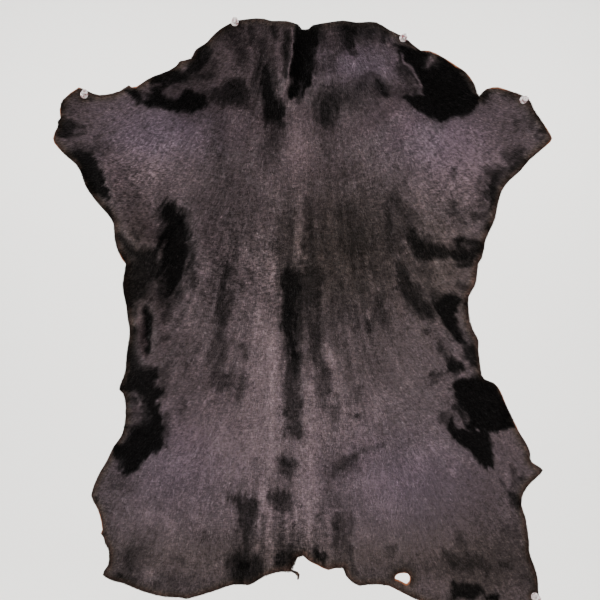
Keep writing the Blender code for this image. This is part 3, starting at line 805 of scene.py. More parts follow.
# name: (shade, softness, [(across, down), ...])
CLEAR_PATCHES = {
    "cowl rim": (20, 5, [(200, 46), (210, 45), (214, 52), (209, 62), (200, 70), (190, 75),
        (184, 70), (192, 62), (197, 54)]),
    "cowl upper": (17, 5, [(150, 84), (149, 77), (156, 73), (165, 72), (178, 70), (190, 74),
        (188, 82), (176, 86), (164, 89), (152, 90)]),
    "cowl main": (12, 5, [(150, 93), (156, 90), (162, 90), (168, 97), (178, 97), (184, 91),
        (190, 89), (198, 92), (206, 98), (206, 108), (196, 113), (176, 111), (160, 111),
        (150, 108), (138, 103), (131, 99), (126, 90), (134, 89)]),
    "throat left": (24, 10, [(212, 92), (226, 84), (242, 82), (250, 92), (248, 104), (230, 108),
        (212, 104)]),
    "throat band": (15, 12, [(257, 66), (265, 64), (271, 74), (276, 87), (284, 100), (287, 114),
        (283, 126), (270, 126), (263, 112), (262, 96), (258, 82)]),
    "neck wedge": (10, 4, [(296, 26), (319, 25), (318, 54), (313, 64), (311, 76), (308, 86),
        (301, 98), (291, 98), (289, 90), (292, 75), (294, 55)]),
    "brow dark": (20, 6, [(344, 26), (354, 26), (355, 42), (351, 56), (346, 52), (343, 42)]),
    "chest right dark": (24, 13, [(318, 98), (334, 94), (337, 112), (331, 126), (320, 122)]),
    "arch dark": (26, 7, [(372, 86), (380, 84), (390, 90), (388, 96), (378, 95)]),
    "pocket": (11, 4, [(394, 42), (405, 45), (416, 50), (430, 52), (446, 58), (460, 70),
        (470, 82), (478, 96), (479, 104), (468, 111), (452, 117), (440, 121), (428, 118),
        (414, 109), (405, 100), (396, 95), (408, 94), (425, 93), (415, 81), (404, 67),
        (396, 54)]),
    "pocket right": (30, 6, [(480, 98), (484, 90), (492, 90), (492, 97), (484, 104)]),
    "left wrist dark": (26, 9, [(56, 118), (68, 120), (82, 129), (84, 134), (70, 139),
        (58, 136)]),
    "left foreleg curl": (15, 6, [(72, 152), (80, 149), (90, 150), (96, 160), (97, 168),
        (103, 178), (109, 190), (109, 198), (103, 202), (94, 196), (86, 186), (80, 174),
        (76, 162)]),
    "left elbow dark": (22, 8, [(118, 252), (128, 256), (140, 250), (158, 249), (160, 262),
        (160, 276), (148, 286), (140, 298), (134, 306), (120, 304), (112, 280)]),
    "left shoulder black": (12, 13, [(163, 206), (170, 202), (181, 208), (186, 222), (190, 240),
        (189, 262), (182, 276), (178, 290), (172, 298), (164, 296), (162, 280), (160, 262),
        (158, 246), (162, 226)]),
    "buckle slit": (16, 4, [(147, 308), (151, 311), (152, 330), (150, 350), (147, 354),
        (145, 340), (145, 320)]),
    "left flank upper": (17, 6, [(118, 372), (130, 366), (146, 366), (157, 369), (162, 380),
        (162, 392), (158, 402), (146, 400), (136, 394), (122, 392), (114, 386)]),
    "left flank black": (12, 6, [(144, 400), (156, 398), (160, 410), (163, 424), (166, 438),
        (158, 450), (150, 457), (142, 464), (130, 474), (122, 473), (114, 455), (116, 446),
        (126, 438), (134, 428), (142, 424), (148, 412)]),
    "spine stripe": (17, 11, [(283, 268), (292, 266), (304, 272), (306, 290), (299, 304),
        (297, 330), (298, 352), (297, 370), (288, 372), (285, 350), (283, 320), (281, 290)]),
    "spine stripe, low": (38, 9, [(286, 362), (299, 362), (301, 384), (302, 410), (303, 434),
        (297, 440), (287, 437), (285, 410), (286, 385)]),
    "brown stripe": (37, 9, [(300, 268), (316, 270), (320, 290), (320, 320), (324, 352),
        (330, 378), (322, 384), (313, 362), (308, 335), (304, 305)]),
    "spine spot": (42, 8, [(278, 458), (290, 458), (298, 462), (298, 472), (290, 478), (284, 474),
        (280, 466)]),
    "spine spot 2": (38, 9, [(268, 496), (280, 492), (294, 496), (298, 504), (292, 514),
        (282, 514), (272, 506)]),
    "left rump streak": (34, 11, [(230, 497), (242, 495), (254, 495), (259, 505), (254, 525),
        (253, 545), (252, 552), (243, 550), (238, 532), (236, 512)]),
    "left rump black": (24, 13, [(226, 560), (240, 550), (256, 554), (266, 568), (262, 578),
        (244, 584), (230, 580)]),
    "tail right dark": (24, 5, [(313, 550), (320, 545), (325, 556), (321, 566), (314, 560)]),
    "tail dark": (22, 7, [(276, 554), (290, 550), (294, 558), (290, 565), (276, 564)]),
    "right elbow band": (20, 6, [(405, 224), (413, 228), (418, 236), (426, 240), (436, 243),
        (452, 247), (464, 247), (482, 246), (480, 258), (470, 267), (458, 262), (446, 257),
        (434, 260), (424, 264), (415, 256), (408, 240)]),
    "right rib shade": (24, 9, [(397, 264), (404, 274), (412, 281), (420, 291), (428, 303),
        (437, 314), (432, 322), (424, 318), (414, 312), (406, 302), (402, 290), (396, 278)]),
    "right flank black": (14, 6, [(438, 298), (446, 293), (456, 293), (464, 298), (459, 308),
        (457, 315), (457, 324), (464, 336), (466, 345), (458, 342), (446, 334), (440, 320),
        (435, 306)]),
    "right lower flank": (18, 4, [(447, 361), (453, 356), (460, 361), (467, 368), (458, 372),
        (449, 372)]),
    "right hind lobe": (11, 4, [(452, 384), (460, 380), (478, 378), (494, 381), (500, 392),
        (506, 404), (512, 417), (515, 425), (506, 430), (488, 430), (466, 430), (463, 418),
        (457, 406), (459, 398), (454, 392)]),
    "right hind lobe 2": (12, 5, [(446, 420), (452, 416), (458, 428), (468, 430), (486, 430),
        (490, 440), (494, 456), (494, 470), (486, 469), (476, 459), (464, 447), (454, 440),
        (449, 430)]),
    "right hock dark": (28, 5, [(502, 482), (508, 490), (516, 494), (522, 500), (520, 508),
        (512, 505), (508, 496)]),
    "right hind shade": (36, 10, [(444, 554), (456, 550), (474, 554), (494, 566), (484, 574),
        (452, 572)]),
    "right hind black": (16, 6, [(450, 582), (466, 583), (482, 584), (486, 592), (476, 600),
        (450, 600)]),
    "right forearm dark": (30, 8, [(522, 155), (514, 159), (502, 168), (492, 172), (489, 184),
        (490, 206), (495, 204), (498, 190), (504, 182), (514, 173), (524, 164)]),
    "flank notch dark": (26, 4, [(470, 339), (475, 344), (476, 356), (478, 370), (471, 366),
        (466, 352), (465, 344)]),
}

# place: [(shade, half width, strength, [(across, down), ...]), ...]
LINES = {
    "left side of the neck": [
        (72, 5, 0.85, [(208, 40), (220, 48), (230, 60), (229, 72), (220, 80)]),
        (28, 5, 0.8, [(226, 26), (232, 34), (236, 44)]),
        (68, 3, 1, [(249, 20), (250, 34), (250, 46), (250, 56)]),
        (28, 3, 0.8, [(252, 24), (252, 36), (252, 47)]),
        (56, 2.5, 0.8, [(162, 96), (168, 91), (176, 89), (184, 84), (194, 81)]),
        (58, 1.6, 0.9, [(148, 88), (154, 84), (160, 86)]),
        (16, 1.8, 0.9, [(128, 92), (134, 98), (140, 106)]),
        (36, 4, 0.7, [(243, 50), (243, 64), (245, 78)]),
        (28, 3.5, 0.8, [(186, 77), (198, 76), (214, 74)]),
        (54, 3.5, 0.9, [(141, 88), (144, 96), (145, 104)]),
        (32, 4, 0.7, [(200, 93), (208, 95), (216, 96)]),
        (38, 3.6, 0.85, [(214, 58), (214, 68), (212, 77)]),
        (22, 4, 0.9, [(224, 89), (231, 84), (238, 82), (243, 78)]),
        (33, 3.6, 0.9, [(256, 70), (256, 84), (257, 98)]),
        (68, 3, 0.95, [(152, 111), (160, 111), (168, 112)]),
    ],
    "middle of the neck": [
        (84, 2.6, 1, [(275, 40), (277, 54), (279.5, 66), (282, 76), (285, 86)]),
        (24, 3.2, 1, [(287.5, 26), (286.5, 38), (286, 50), (285, 62)]),
        (112, 1, 1, [(291.5, 26), (293.2, 45), (291.8, 57), (289, 75), (286, 88), (283, 99)]),
        (78, 1, 0.9, [(281.2, 70), (282.6, 84), (285.5, 97)]),
        (36, 2, 0.8, [(300, 80), (300, 92), (299, 106)]),
        (24, 3, 0.7, [(308, 62), (307, 74)]),
        (24, 3, 1, [(274, 24), (274, 32), (274, 39)]),
        (30, 4, 0.9, [(261, 38), (262, 52), (263, 64)]),
        (38, 3, 0.85, [(272, 67), (275, 78), (276, 86)]),
        (34, 2.2, 0.9, [(286.5, 60), (286, 70), (286.5, 80)]),
    ],
    "right side of the neck": [
        (62, 6, 0.85, [(322, 46), (321, 66), (323, 84)]),
        (60, 4, 0.8, [(334, 26), (330, 42), (327, 60)]),
        (58, 3, 0.8, [(374, 24), (370, 38), (362, 50)]),
        (20, 3, 0.8, [(384, 32), (384, 44)]),
        (72, 4, 0.7, [(338, 76), (350, 74), (366, 74)]),
        (62, 4, 0.6, [(348, 92), (360, 84), (372, 86), (380, 96)]),
        (36, 4, 0.7, [(341, 40), (341, 54)]),
        (34, 2.2, 0.8, [(324, 28), (324, 40), (323, 50)]),
        (28, 2.5, 0.8, [(382, 28), (384, 34), (384, 38)]),
        (18, 2.2, 1, [(376, 80), (380, 86), (385, 92), (388, 97)]),
        (78, 3, 0.85, [(316, 92), (318, 86), (327, 79), (337, 75)]),
        (34, 3, 0.8, [(316, 60), (315.5, 68), (314, 76)]),
        (36, 3.4, 0.9, [(348, 55), (355, 54), (354, 58)]),
        (26, 3, 0.8, [(318, 24), (320, 32), (320, 42)]),
        (34, 4, 0.8, [(316, 100), (316, 110), (318, 120)]),
        (24, 3, 0.9, [(372, 27), (372, 38)]),
        (34, 2.8, 0.9, [(324, 62), (324, 70)]),
        (42, 2.8, 0.8, [(331, 52), (337, 55)]),
        (34, 3.6, 0.9, [(356, 91), (360, 85), (368, 83)]),
        (44, 3.2, 0.9, [(359, 78), (371, 77), (378, 79)]),
    ],
    "pocket": [
        (70, 3, 0.8, [(392, 30), (394, 44), (398, 52)]),
        (100, 1.4, 1, [(399, 53), (405, 63), (411, 71), (417, 80), (424, 91)]),
        (34, 3, 0.7, [(398, 88), (412, 90), (420, 88)]),
        (82, 3, 0.95, [(433, 52), (430.5, 60), (427, 68), (425, 73)]),
        (40, 1.8, 0.7, [(424, 50.5), (440, 55), (456, 66), (468, 80), (477, 94)]),
        (92, 8, 0.6, [(396, 108), (400, 124), (408, 136)]),
        (30, 3, 0.8, [(438, 57), (436, 62), (433, 68)]),
        (40, 4, 1, [(398, 64), (402, 71), (408, 80), (412, 86)]),
        (26, 2.6, 0.9, [(413, 90), (417, 93)]),
        (12, 3.4, 1, [(446, 118), (456, 116), (466, 111), (474, 107)]),
    ],
    "left foreleg": [
        (64, 2.5, 0.8, [(98, 200), (106, 203), (116, 213), (121, 222)]),
        (26, 4, 0.7, [(64, 154), (74, 155), (86, 152)]),
        (26, 3, 0.8, [(101, 205), (108, 212), (115, 222)]),
        (30, 2.5, 0.9, [(61, 100), (63, 106), (60, 112)]),
        (32, 3, 0.8, [(60, 115), (62, 122)]),
        (58, 3, 0.9, [(75, 134), (82, 131)]),
        (54, 3, 0.8, [(84, 124), (91, 127)]),
        (58, 3, 0.8, [(90, 139), (99, 139)]),
        (42, 3, 0.9, [(97, 158), (101, 163)]),
        (60, 2, 0.9, [(96, 200), (101, 203), (106, 207)]),
        (20, 2, 1, [(104, 207), (109, 213), (113, 219)]),
        (84, 2.6, 0.95, [(113, 208), (118, 214), (121, 220)]),
    ],
    "left elbow": [
        (76, 3, 0.85, [(118, 226), (126, 236), (136, 243), (148, 243), (158, 236)]),
        (34, 3, 0.7, [(118, 238), (124, 248), (130, 254)]),
        (44, 2, 0.7, [(112, 262), (122, 263), (132, 262)]),
        (46, 4, 0.6, [(132, 230), (138, 235), (146, 232)]),
        (66, 3, 0.6, [(131, 314), (131, 322)]),
        (34, 6, 0.8, [(168, 296), (168, 310), (166, 322)]),
        (66, 2.5, 0.8, [(130, 312), (134, 304), (142, 302), (150, 302)]),
        (32, 4, 0.85, [(191, 240), (191, 262), (193, 290)]),
        (18, 3, 0.85, [(124, 246), (130, 252), (138, 256)]),
        (26, 2.8, 1, [(118, 233), (121, 240), (126, 245), (132, 250)]),
        (40, 4, 0.9, [(132, 231), (136, 237), (141, 235)]),
        (52, 3.5, 0.8, [(146, 238), (150, 234)]),
        (40, 2.6, 0.95, [(124, 262), (131, 259), (137, 258)]),
        (26, 4, 0.9, [(160, 278), (160, 290), (161, 304)]),
        (28, 3, 0.8, [(166, 300), (166, 309)]),
        (34, 3, 0.9, [(123, 278), (123, 296)]),
        (16, 3, 0.95, [(130, 302), (131, 310)]),
        (92, 3.2, 1, [(129, 323), (139, 321)]),
        (40, 3, 0.95, [(166, 320), (166, 325)]),
    ],
    "left belly": [
        (88, 2.6, 1, [(143, 302), (139.5, 312), (140.5, 330), (142, 350), (148, 362)]),
        (66, 3.5, 0.8, [(152, 302), (156, 316), (157, 336), (155, 354), (150, 362)]),
        (20, 6, 0.9, [(129, 344), (130, 358), (132, 370)]),
        (66, 3, 0.8, [(124, 406), (132, 404), (138, 410)]),
        (42, 3.5, 0.75, [(122, 420), (132, 417), (142, 412)]),
        (44, 2, 0.6, [(122, 397), (134, 396), (146, 400)]),
        (24, 3.5, 0.7, [(122, 400), (128, 398), (140, 403)]),
        (50, 1.8, 0.7, [(120, 436), (132, 432)]),
        (26, 2.5, 0.85, [(132, 330), (133, 337), (136, 346)]),
        (24, 3, 0.8, [(128, 352), (133, 362), (142, 366), (152, 366)]),
        (60, 1.8, 0.9, [(119, 384), (122, 375), (129, 370)]),
        (30, 2, 0.8, [(126, 400), (134, 400), (141, 405)]),
        (20, 2, 0.9, [(124, 428), (132, 428), (138, 424)]),
        (46, 2.5, 0.8, [(164, 434), (167, 442), (164, 450)]),
        (22, 4, 0.8, [(143, 412), (142, 422), (138, 430)]),
        (20, 2.4, 1, [(132, 325), (134, 331), (135, 337)]),
        (38, 2.4, 0.95, [(135, 347), (136, 360)]),
        (42, 3, 0.95, [(166, 334), (166, 339)]),
        (50, 3, 0.95, [(122, 376), (127, 378)]),
        (64, 4, 0.95, [(158, 376), (160, 388)]),
        (24, 3, 0.95, [(144, 405), (146, 414)]),
        (42, 3.4, 0.95, [(165, 414), (166, 428), (166, 440)]),
        (16, 2.4, 1, [(145.5, 306), (146, 330), (147, 355)]),
    ],
    "left back": [
        (31, 9, 0.85, [(226, 264), (223, 290), (221, 312), (219, 332)]),
        (84, 5, 0.7, [(210, 262), (210, 284), (206, 306)]),
        (54, 5, 0.6, [(240, 286), (234, 306), (230, 324)]),
        (54, 3, 0.55, [(262, 196), (254, 216), (246, 240)]),
        (84, 3.5, 0.7, [(202, 244), (202, 262), (201, 276)]),
        (54, 3, 0.8, [(201, 290), (201, 298)]),
        (42, 3.6, 0.95, [(236, 226), (235, 245), (236, 264)]),
        (46, 4, 0.95, [(221, 263), (229, 264)]),
        (50, 3.2, 0.95, [(250, 267), (250, 279)]),
        (46, 3.2, 0.95, [(243, 281), (243, 293)]),
        (56, 3.4, 0.85, [(243, 310), (243, 322)]),
    ],
    "left ribs": [
        (46, 9, 0.8, [(217, 326), (215, 350), (216, 372), (226, 394)]),
        (56, 6, 0.6, [(244, 374), (238, 392), (232, 402)]),
        (54, 2.2, 0.7, [(181, 396), (183, 412)]),
        (60, 3, 0.6, [(196, 300), (193, 330), (200, 352)]),
        (52, 1.5, 0.6, [(184, 346), (186, 362), (184, 380)]),
        (58, 3.5, 0.8, [(180, 402), (181, 418)]),
        (92, 3.5, 0.9, [(193, 318), (194, 338)]),
        (50, 4, 0.8, [(209, 350), (208, 366)]),
        (40, 3.6, 0.9, [(222, 330), (222, 360)]),
        (54, 4, 0.9, [(240, 343), (246, 350), (247, 361)]),
        (40, 3.5, 0.9, [(222, 370), (223, 378)]),
        (52, 4, 0.8, [(239, 378), (238, 394)]),
    ],
    "spine": [
        (90, 3.2, 0.95, [(300, 180), (300, 205), (299.5, 235), (300, 262), (302, 276)]),
        (34, 5, 0.7, [(311, 196), (311, 230), (311, 262)]),
        (20, 7, 0.6, [(309, 262), (311, 280), (313, 304)]),
        (52, 3.5, 0.95, [(270, 240), (273, 250)]),
        (102, 3.5, 0.9, [(271, 260), (271, 280)]),
        (46, 3, 0.95, [(299, 261), (299, 266)]),
        (32, 3, 0.9, [(306, 260), (306, 266)]),
        (28, 3, 0.85, [(299, 300), (299, 345)]),
        (26, 2.6, 0.85, [(306, 282), (306, 308)]),
        (30, 4, 0.9, [(320, 266), (320, 288)]),
    ],
    "spine at the loin": [
        (106, 5.5, 0.9, [(311, 378), (310, 410), (310, 450), (309, 500)]),
        (114, 6, 0.8, [(271, 330), (272, 380), (271, 430), (271, 480)]),
        (54, 5, 0.85, [(318, 372), (322, 392), (326, 416)]),
        (18, 3, 0.8, [(295, 352), (295, 376)]),
        (54, 3.5, 0.8, [(319, 348), (319, 368)]),
        (30, 3, 0.9, [(287, 410), (287, 418)]),
    ],
    "right ribs": [
        (96, 6, 0.8, [(330, 350), (337, 370), (341, 392), (345, 414)]),
        (34, 3.6, 1, [(358, 411), (359, 418)]),
        (100, 5, 0.8, [(336, 356), (338, 376), (341, 398)]),
        (100, 3.2, 0.9, [(327, 344), (327, 352)]),
        (88, 3, 0.9, [(327, 346), (327, 368)]),
        (42, 3.4, 0.9, [(327, 378), (327, 394)]),
        (60, 4, 0.85, [(358, 384), (359, 402)]),
        (62, 4, 0.85, [(335, 402), (335, 432)]),
    ],
    "right back": [
        (34, 4, 0.6, [(352, 196), (351, 250), (352, 300)]),
        (29, 4, 0.75, [(390, 192), (389, 232), (392, 262)]),
        (34, 5, 0.75, [(385, 292), (379, 306), (370, 322), (368, 336)]),
        (32, 3, 0.95, [(341, 280), (341, 290)]),
        (40, 3.2, 0.9, [(334, 296), (334, 306)]),
        (32, 3, 0.95, [(355, 303), (355, 308)]),
        (84, 3.2, 0.95, [(368, 309), (369, 320)]),
        (38, 4, 0.9, [(382, 310), (384, 328)]),
        (34, 3, 0.8, [(376, 296), (376, 308)]),
        (66, 3.4, 0.9, [(360, 256), (370, 258)]),
    ],
    "right elbow": [
        (28, 4, 0.8, [(400, 262), (402, 276), (408, 290)]),
        (46, 5, 0.7, [(428, 278), (432, 290), (436, 298)]),
        (60, 2.5, 0.7, [(440, 268), (458, 264), (474, 258)]),
        (18, 4, 0.9, [(452, 243), (460, 240), (468, 242), (480, 245)]),
        (40, 1.6, 0.8, [(452, 268), (462, 263), (472, 262)]),
        (44, 3, 1, [(476, 216), (482, 218), (488, 214)]),
        (38, 3, 0.8, [(456, 283), (462, 285), (470, 286)]),
        (30, 2.5, 0.8, [(466, 304), (468, 312), (470, 320)]),
        (42, 3.2, 1, [(471, 216), (478, 217)]),
        (24, 3, 0.95, [(489, 221), (487, 232)]),
        (88, 4, 0.95, [(465, 230), (476, 230)]),
        (36, 4.5, 0.9, [(411, 212), (408, 222), (404, 232), (404, 240)]),
        (45, 3.5, 0.9, [(424, 237), (434, 238), (441, 238)]),
        (82, 3, 0.9, [(451, 235), (456, 237)]),
        (12, 3, 1, [(457, 245), (464, 241)]),
        (20, 3, 0.95, [(480, 242), (482, 248)]),
        (32, 3, 0.9, [(444, 258), (449, 259)]),
        (12, 3.4, 1, [(462, 257), (471, 258)]),
        (20, 2.6, 1, [(458, 266), (466, 265), (473, 266)]),
        (22, 3, 0.9, [(404, 268), (404, 276)]),
        (45, 3, 0.9, [(432, 270), (433, 280)]),
        (84, 3, 0.9, [(473, 272), (474, 284)]),
        (36, 3.4, 0.9, [(397, 280), (397, 290)]),
        (32, 3.4, 0.9, [(434, 291), (436, 304)]),
        (20, 3.4, 0.95, [(450, 291), (452, 296)]),
        (88, 3, 0.95, [(467, 289), (468, 296)]),
        (18, 3, 0.95, [(465, 301), (470, 303)]),
        (34, 3.4, 0.9, [(418, 314), (420, 320)]),
    ],
    "right flank": [
        (66, 4, 0.7, [(449, 342), (457, 352), (464, 360)]),
        (52, 3.5, 0.6, [(430, 322), (436, 336), (444, 352)]),
        (54, 4, 0.8, [(458, 414), (462, 420)]),
        (38, 2, 0.6, [(496, 384), (502, 396), (508, 408)]),
        (50, 1.5, 0.8, [(452, 406), (458, 405), (463, 410)]),
        (62, 2.2, 0.95, [(491, 381), (500, 387), (507, 392), (510, 402), (515, 413)]),
        (62, 1.8, 0.8, [(462, 362), (472, 367), (481, 376)]),
        (38, 1.8, 0.7, [(440, 350), (446, 356), (449, 362)]),
        (34, 4, 0.85, [(430, 373), (437, 375), (444, 373)]),
        (36, 4, 0.8, [(440, 340), (445, 350), (446, 359)]),
        (24, 3, 0.8, [(470, 377), (478, 378), (486, 380)]),
        (24, 4, 0.85, [(455, 402), (460, 409), (465, 413)]),
        (40, 3, 0.8, [(440, 414), (446, 419), (450, 424)]),
        (38, 3.4, 0.95, [(427, 330), (428, 336)]),
        (22, 3, 0.95, [(467, 354), (468, 360)]),
        (86, 3, 0.9, [(458, 354), (460, 360)]),
        (32, 3.4, 0.95, [(456, 373), (461, 374)]),
        (48, 3.4, 0.9, [(434, 379), (436, 384)]),
        (34, 3.4, 0.95, [(450, 387), (452, 392)]),
        (12, 4, 0.95, [(458, 393), (460, 400)]),
        (46, 3.4, 0.95, [(466, 410), (468, 424)]),
        (46, 3.6, 0.9, [(443, 410), (444, 424)]),
        (48, 3, 0.9, [(450, 411), (452, 415)]),
    ],
    "right haunch": [
        (42, 3.4, 0.95, [(333, 482), (335, 472), (342, 465), (351, 460), (359, 454)]),
        (60, 2.6, 0.9, [(358, 453), (371, 448), (386, 445)]),
        (96, 4, 0.9, [(340, 451), (352, 450)]),
        (94, 3.6, 0.9, [(366, 457), (378, 455)]),
        (106, 3.4, 0.95, [(335, 507), (335, 513)]),
    ],
    "rump": [
        (72, 3, 0.8, [(318, 500), (320, 516), (321, 536)]),
        (100, 5, 0.75, [(299, 440), (299, 480), (299, 530)]),
        (92, 3, 0.6, [(312, 440), (317, 470), (318, 500)]),
        (104, 3, 0.8, [(264, 470), (264, 500), (265, 520)]),
        (113, 4, 0.7, [(311, 498), (312, 515), (312, 530)]),
        (70, 3.4, 0.9, [(255, 459), (255, 472)]),
        (26, 2.8, 1, [(282, 460), (287, 464), (292, 466)]),
        (48, 3, 0.9, [(293, 460), (296, 466)]),
        (54, 3, 0.9, [(319, 512), (319, 522)]),
    ],
    "right hock": [
        (44, 3, 0.8, [(349, 544), (352, 560), (355, 576)]),
        (44, 1.6, 0.8, [(352, 545), (353, 560), (357, 576)]),
        (48, 2.2, 0.8, [(394, 574), (399, 569), (406, 568), (412, 572), (413, 580), (409, 586)]),
        (52, 3.6, 0.9, [(351, 508), (351, 536)]),
        (46, 5, 0.95, [(390, 544), (392, 552), (396, 556)]),
    ],
    "tail end": [
        (98, 3, 0.7, [(330, 506), (331, 524), (330, 546)]),
        (102, 3, 0.9, [(327, 514), (328, 536)]),
        (38, 3, 0.95, [(335, 522), (335, 546)]),
        (56, 3.6, 0.9, [(263, 512), (263, 556)]),
        (98, 3, 0.9, [(272, 538), (272, 566)]),
        (46, 3.4, 0.9, [(255, 530), (255, 545)]),
        (8, 4, 0.9, [(238, 566), (248, 567)]),
        (64, 3, 0.9, [(319, 545), (320, 551)]),
        (62, 4, 0.6, [(199, 532), (208, 536), (201, 543)]),
    ],
    "right thigh": [
        (44, 5, 0.7, [(512, 490), (514, 478), (513, 466)]),
        (30, 2, 0.8, [(512, 462), (508, 466), (514, 472)]),
        (100, 4, 0.9, [(449, 468), (453, 478)]),
        (28, 3, 0.95, [(521, 475), (525, 480)]),
        (82, 3, 0.9, [(507, 458), (507, 490)]),
    ],
    "left hind leg": [
        (38, 5, 0.7, [(140, 548), (130, 556), (126, 572)]),
        (34, 2.5, 0.85, [(128, 548), (127, 560), (130, 574)]),
        (30, 5, 0.8, [(110, 580), (122, 576), (136, 583)]),
        (80, 2.8, 0.95, [(110, 549), (114, 552)]),
        (18, 3, 0.95, [(119, 571), (121, 578)]),
        (94, 4, 0.95, [(143, 572), (153, 573)]),
        (80, 3, 0.9, [(143, 579), (147, 584)]),
        (40, 3, 0.7, [(153, 589), (161, 584)]),
        (98, 5, 0.8, [(158, 512), (170, 526), (178, 527)]),
        (52, 5, 0.85, [(168, 557), (176, 560), (185, 562)]),
    ],
    "right shoulder": [
        (58, 3, 1, [(452, 166), (453, 180)]),
        (44, 5, 0.95, [(452, 198), (453, 208), (453, 218)]),
        (100, 6, 0.6, [(421, 172), (422, 214)]),
        (66, 4, 0.95, [(430, 126), (439, 126), (449, 125)]),
        (64, 4, 0.9, [(395, 146), (406, 146)]),
        (62, 3, 0.9, [(438, 193), (440, 198)]),
        (36, 4, 0.9, [(398, 198), (398, 216)]),
        (34, 3.5, 0.85, [(341, 198), (341, 222)]),
    ],
    "right foreleg": [
        (52, 6, 0.6, [(500, 152), (512, 151), (522, 148)]),
        (42, 4, 0.7, [(530, 112), (532, 122), (536, 132)]),
        (22, 2, 0.8, [(494, 196), (491, 206), (487, 214)]),
        (62, 2.5, 0.8, [(508, 166), (504, 176), (502, 185)]),
        (32, 5, 0.7, [(486, 166), (490, 176), (494, 184)]),
        (34, 4, 0.7, [(510, 152), (520, 152), (528, 150)]),
        (42, 2, 0.7, [(517, 118), (516, 126), (519, 132)]),
        (34, 2.5, 0.8, [(536, 136), (541, 140), (546, 136)]),
        (24, 2, 0.8, [(532, 104), (538, 116), (546, 128)]),
        (22, 2.2, 0.8, [(480, 96), (486, 91), (492, 91)]),
        (36, 3, 0.8, [(500, 95), (508, 96), (516, 98)]),
        (30, 3.5, 0.8, [(506, 160), (514, 158), (522, 153)]),
        (20, 3, 0.8, [(497, 172), (495, 184), (494, 198)]),
        (36, 3, 0.9, [(540, 130), (546, 133)]),
        (45, 4, 0.9, [(504, 153), (511, 154)]),
        (54, 3.5, 0.9, [(494, 167), (498, 163)]),
        (62, 2.5, 0.9, [(503, 178), (502, 184)]),
        (57, 4, 0.9, [(480, 178), (481, 196), (480, 212)]),
        (38, 3.5, 0.9, [(488, 190), (488, 201)]),
        (104, 4, 0.95, [(467, 195), (467, 206)]),
    ],
    "left hip": [
        (24, 1.8, 0.8, [(116, 470), (117, 461), (122, 454)]),
        (20, 3.4, 0.95, [(158, 446), (154, 456)]),
        (86, 2.6, 0.95, [(103, 468), (97, 477), (96, 487)]),
        (34, 2.6, 0.95, [(95, 494), (97, 502)]),
        (98, 6, 0.8, [(144, 508), (150, 520), (146, 528)]),
    ],
    "right hind leg": [
        (34, 3, 0.6, [(524, 572), (530, 582), (540, 590)]),
        (78, 3, 0.9, [(523, 522), (524, 546)]),
        (44, 4, 0.9, [(458, 530), (461, 544), (468, 545)]),
        (24, 3.4, 0.9, [(450, 563), (459, 567)]),
        (68, 3, 0.9, [(474, 573), (484, 574)]),
        (28, 3.4, 0.9, [(499, 563), (508, 566)]),
        (10, 3.6, 1, [(484, 599), (492, 598), (499, 599)]),
    ],
    "left shoulder": [
        (64, 3.5, 0.9, [(118, 174), (129, 174)]),
        (37, 4, 0.85, [(159, 207), (160, 220)]),
    ],
    "withers": [
        (52, 3.5, 0.8, [(271, 200), (271, 208)]),
    ],
}

# name: (across, down, half width, half height, tint), from 0, brown, to 1, mauve
OPEN_TINT = 0.47
TINT_PATCHES = {
    "left shoulder": (160, 130, 60, 30, 1),
    "right shoulder": (440, 140, 60, 40, 0.85),
    "neck right": (360, 64, 46, 24, 0.95),
    "right back": (345, 260, 70, 70, 0.05),
    "left ribs": (210, 320, 60, 60, 0.45),
    "right ribs": (360, 340, 50, 40, 0.4),
    "rump right": (410, 480, 70, 50, 0.85),
    "rump left": (170, 470, 60, 50, 0.8),
    "lower edge": (300, 560, 230, 24, 0.25),
    "left belly": (130, 270, 24, 50, 0.1),
    "right belly": (440, 270, 40, 50, 0.15),
    "right hind": (480, 570, 50, 40, 0.2),
}

# name: (across, down, half width, half height, how much the hair is ruffled);
# ruffled hair has stronger painted glints and grain
OPEN_RUFFLE = 0.85
RUFFLED = {
    "left shoulder": (130, 180, 50, 40, 1.35),
    "right shoulder": (450, 196, 44, 36, 1.2),
    "left back": (240, 262, 60, 44, 1.4),
    "neck right": (370, 84, 44, 44, 0.55),
    "haunch": (410, 510, 66, 60, 0.3),
    "right flank": (396, 376, 40, 44, 0.6),
    "left loin": (220, 456, 60, 40, 0.6),
    "left rump": (150, 530, 60, 44, 0.6),
    "spine": (290, 540, 30, 40, 1.3),
}

# name: (across, down, half width, half height) of the places with streaks of painted
# sheen along the nap
STREAKED = {
    "right back": (360, 260, 60, 70),
    "left ribs": (215, 320, 45, 90),
    "right ribs": (360, 360, 45, 60),
    "neck": (300, 60, 100, 30),
    "rump": (290, 520, 60, 40),
}
print(f"{len(SOFT_PATCHES)} soft patches, {len(CLEAR_PATCHES)} clear ones")

# %% [markdown]
# Each patch and line has a share in each cell of the map, from 0 to 1. A soft ellipse
# fades like a bell, an outline is full inside and turns within its softness, and a line
# is full along its middle and fades to its sides and ends.

# %% Shares of patches and lines
FEATHER = 0.16  # how much single locks of hair ruffle the edge of a patch
ENDS = 12  # how quickly a line comes in at its two ends


def ellipse_share(across, down, half_width, half_height, lean=0):
    """1 in the middle of a soft ellipse, fading to 0. Its long axis leans by lean degrees."""
    cos, sin = math.cos(math.radians(lean)), math.sin(math.radians(lean))
    right, low = patch_across - across, patch_down - down
    off = ((right * cos - low * sin) / half_width) ** 2
    off += ((right * sin + low * cos) / half_height) ** 2
    return np.exp(-off * (1 + FEATHER * feather))


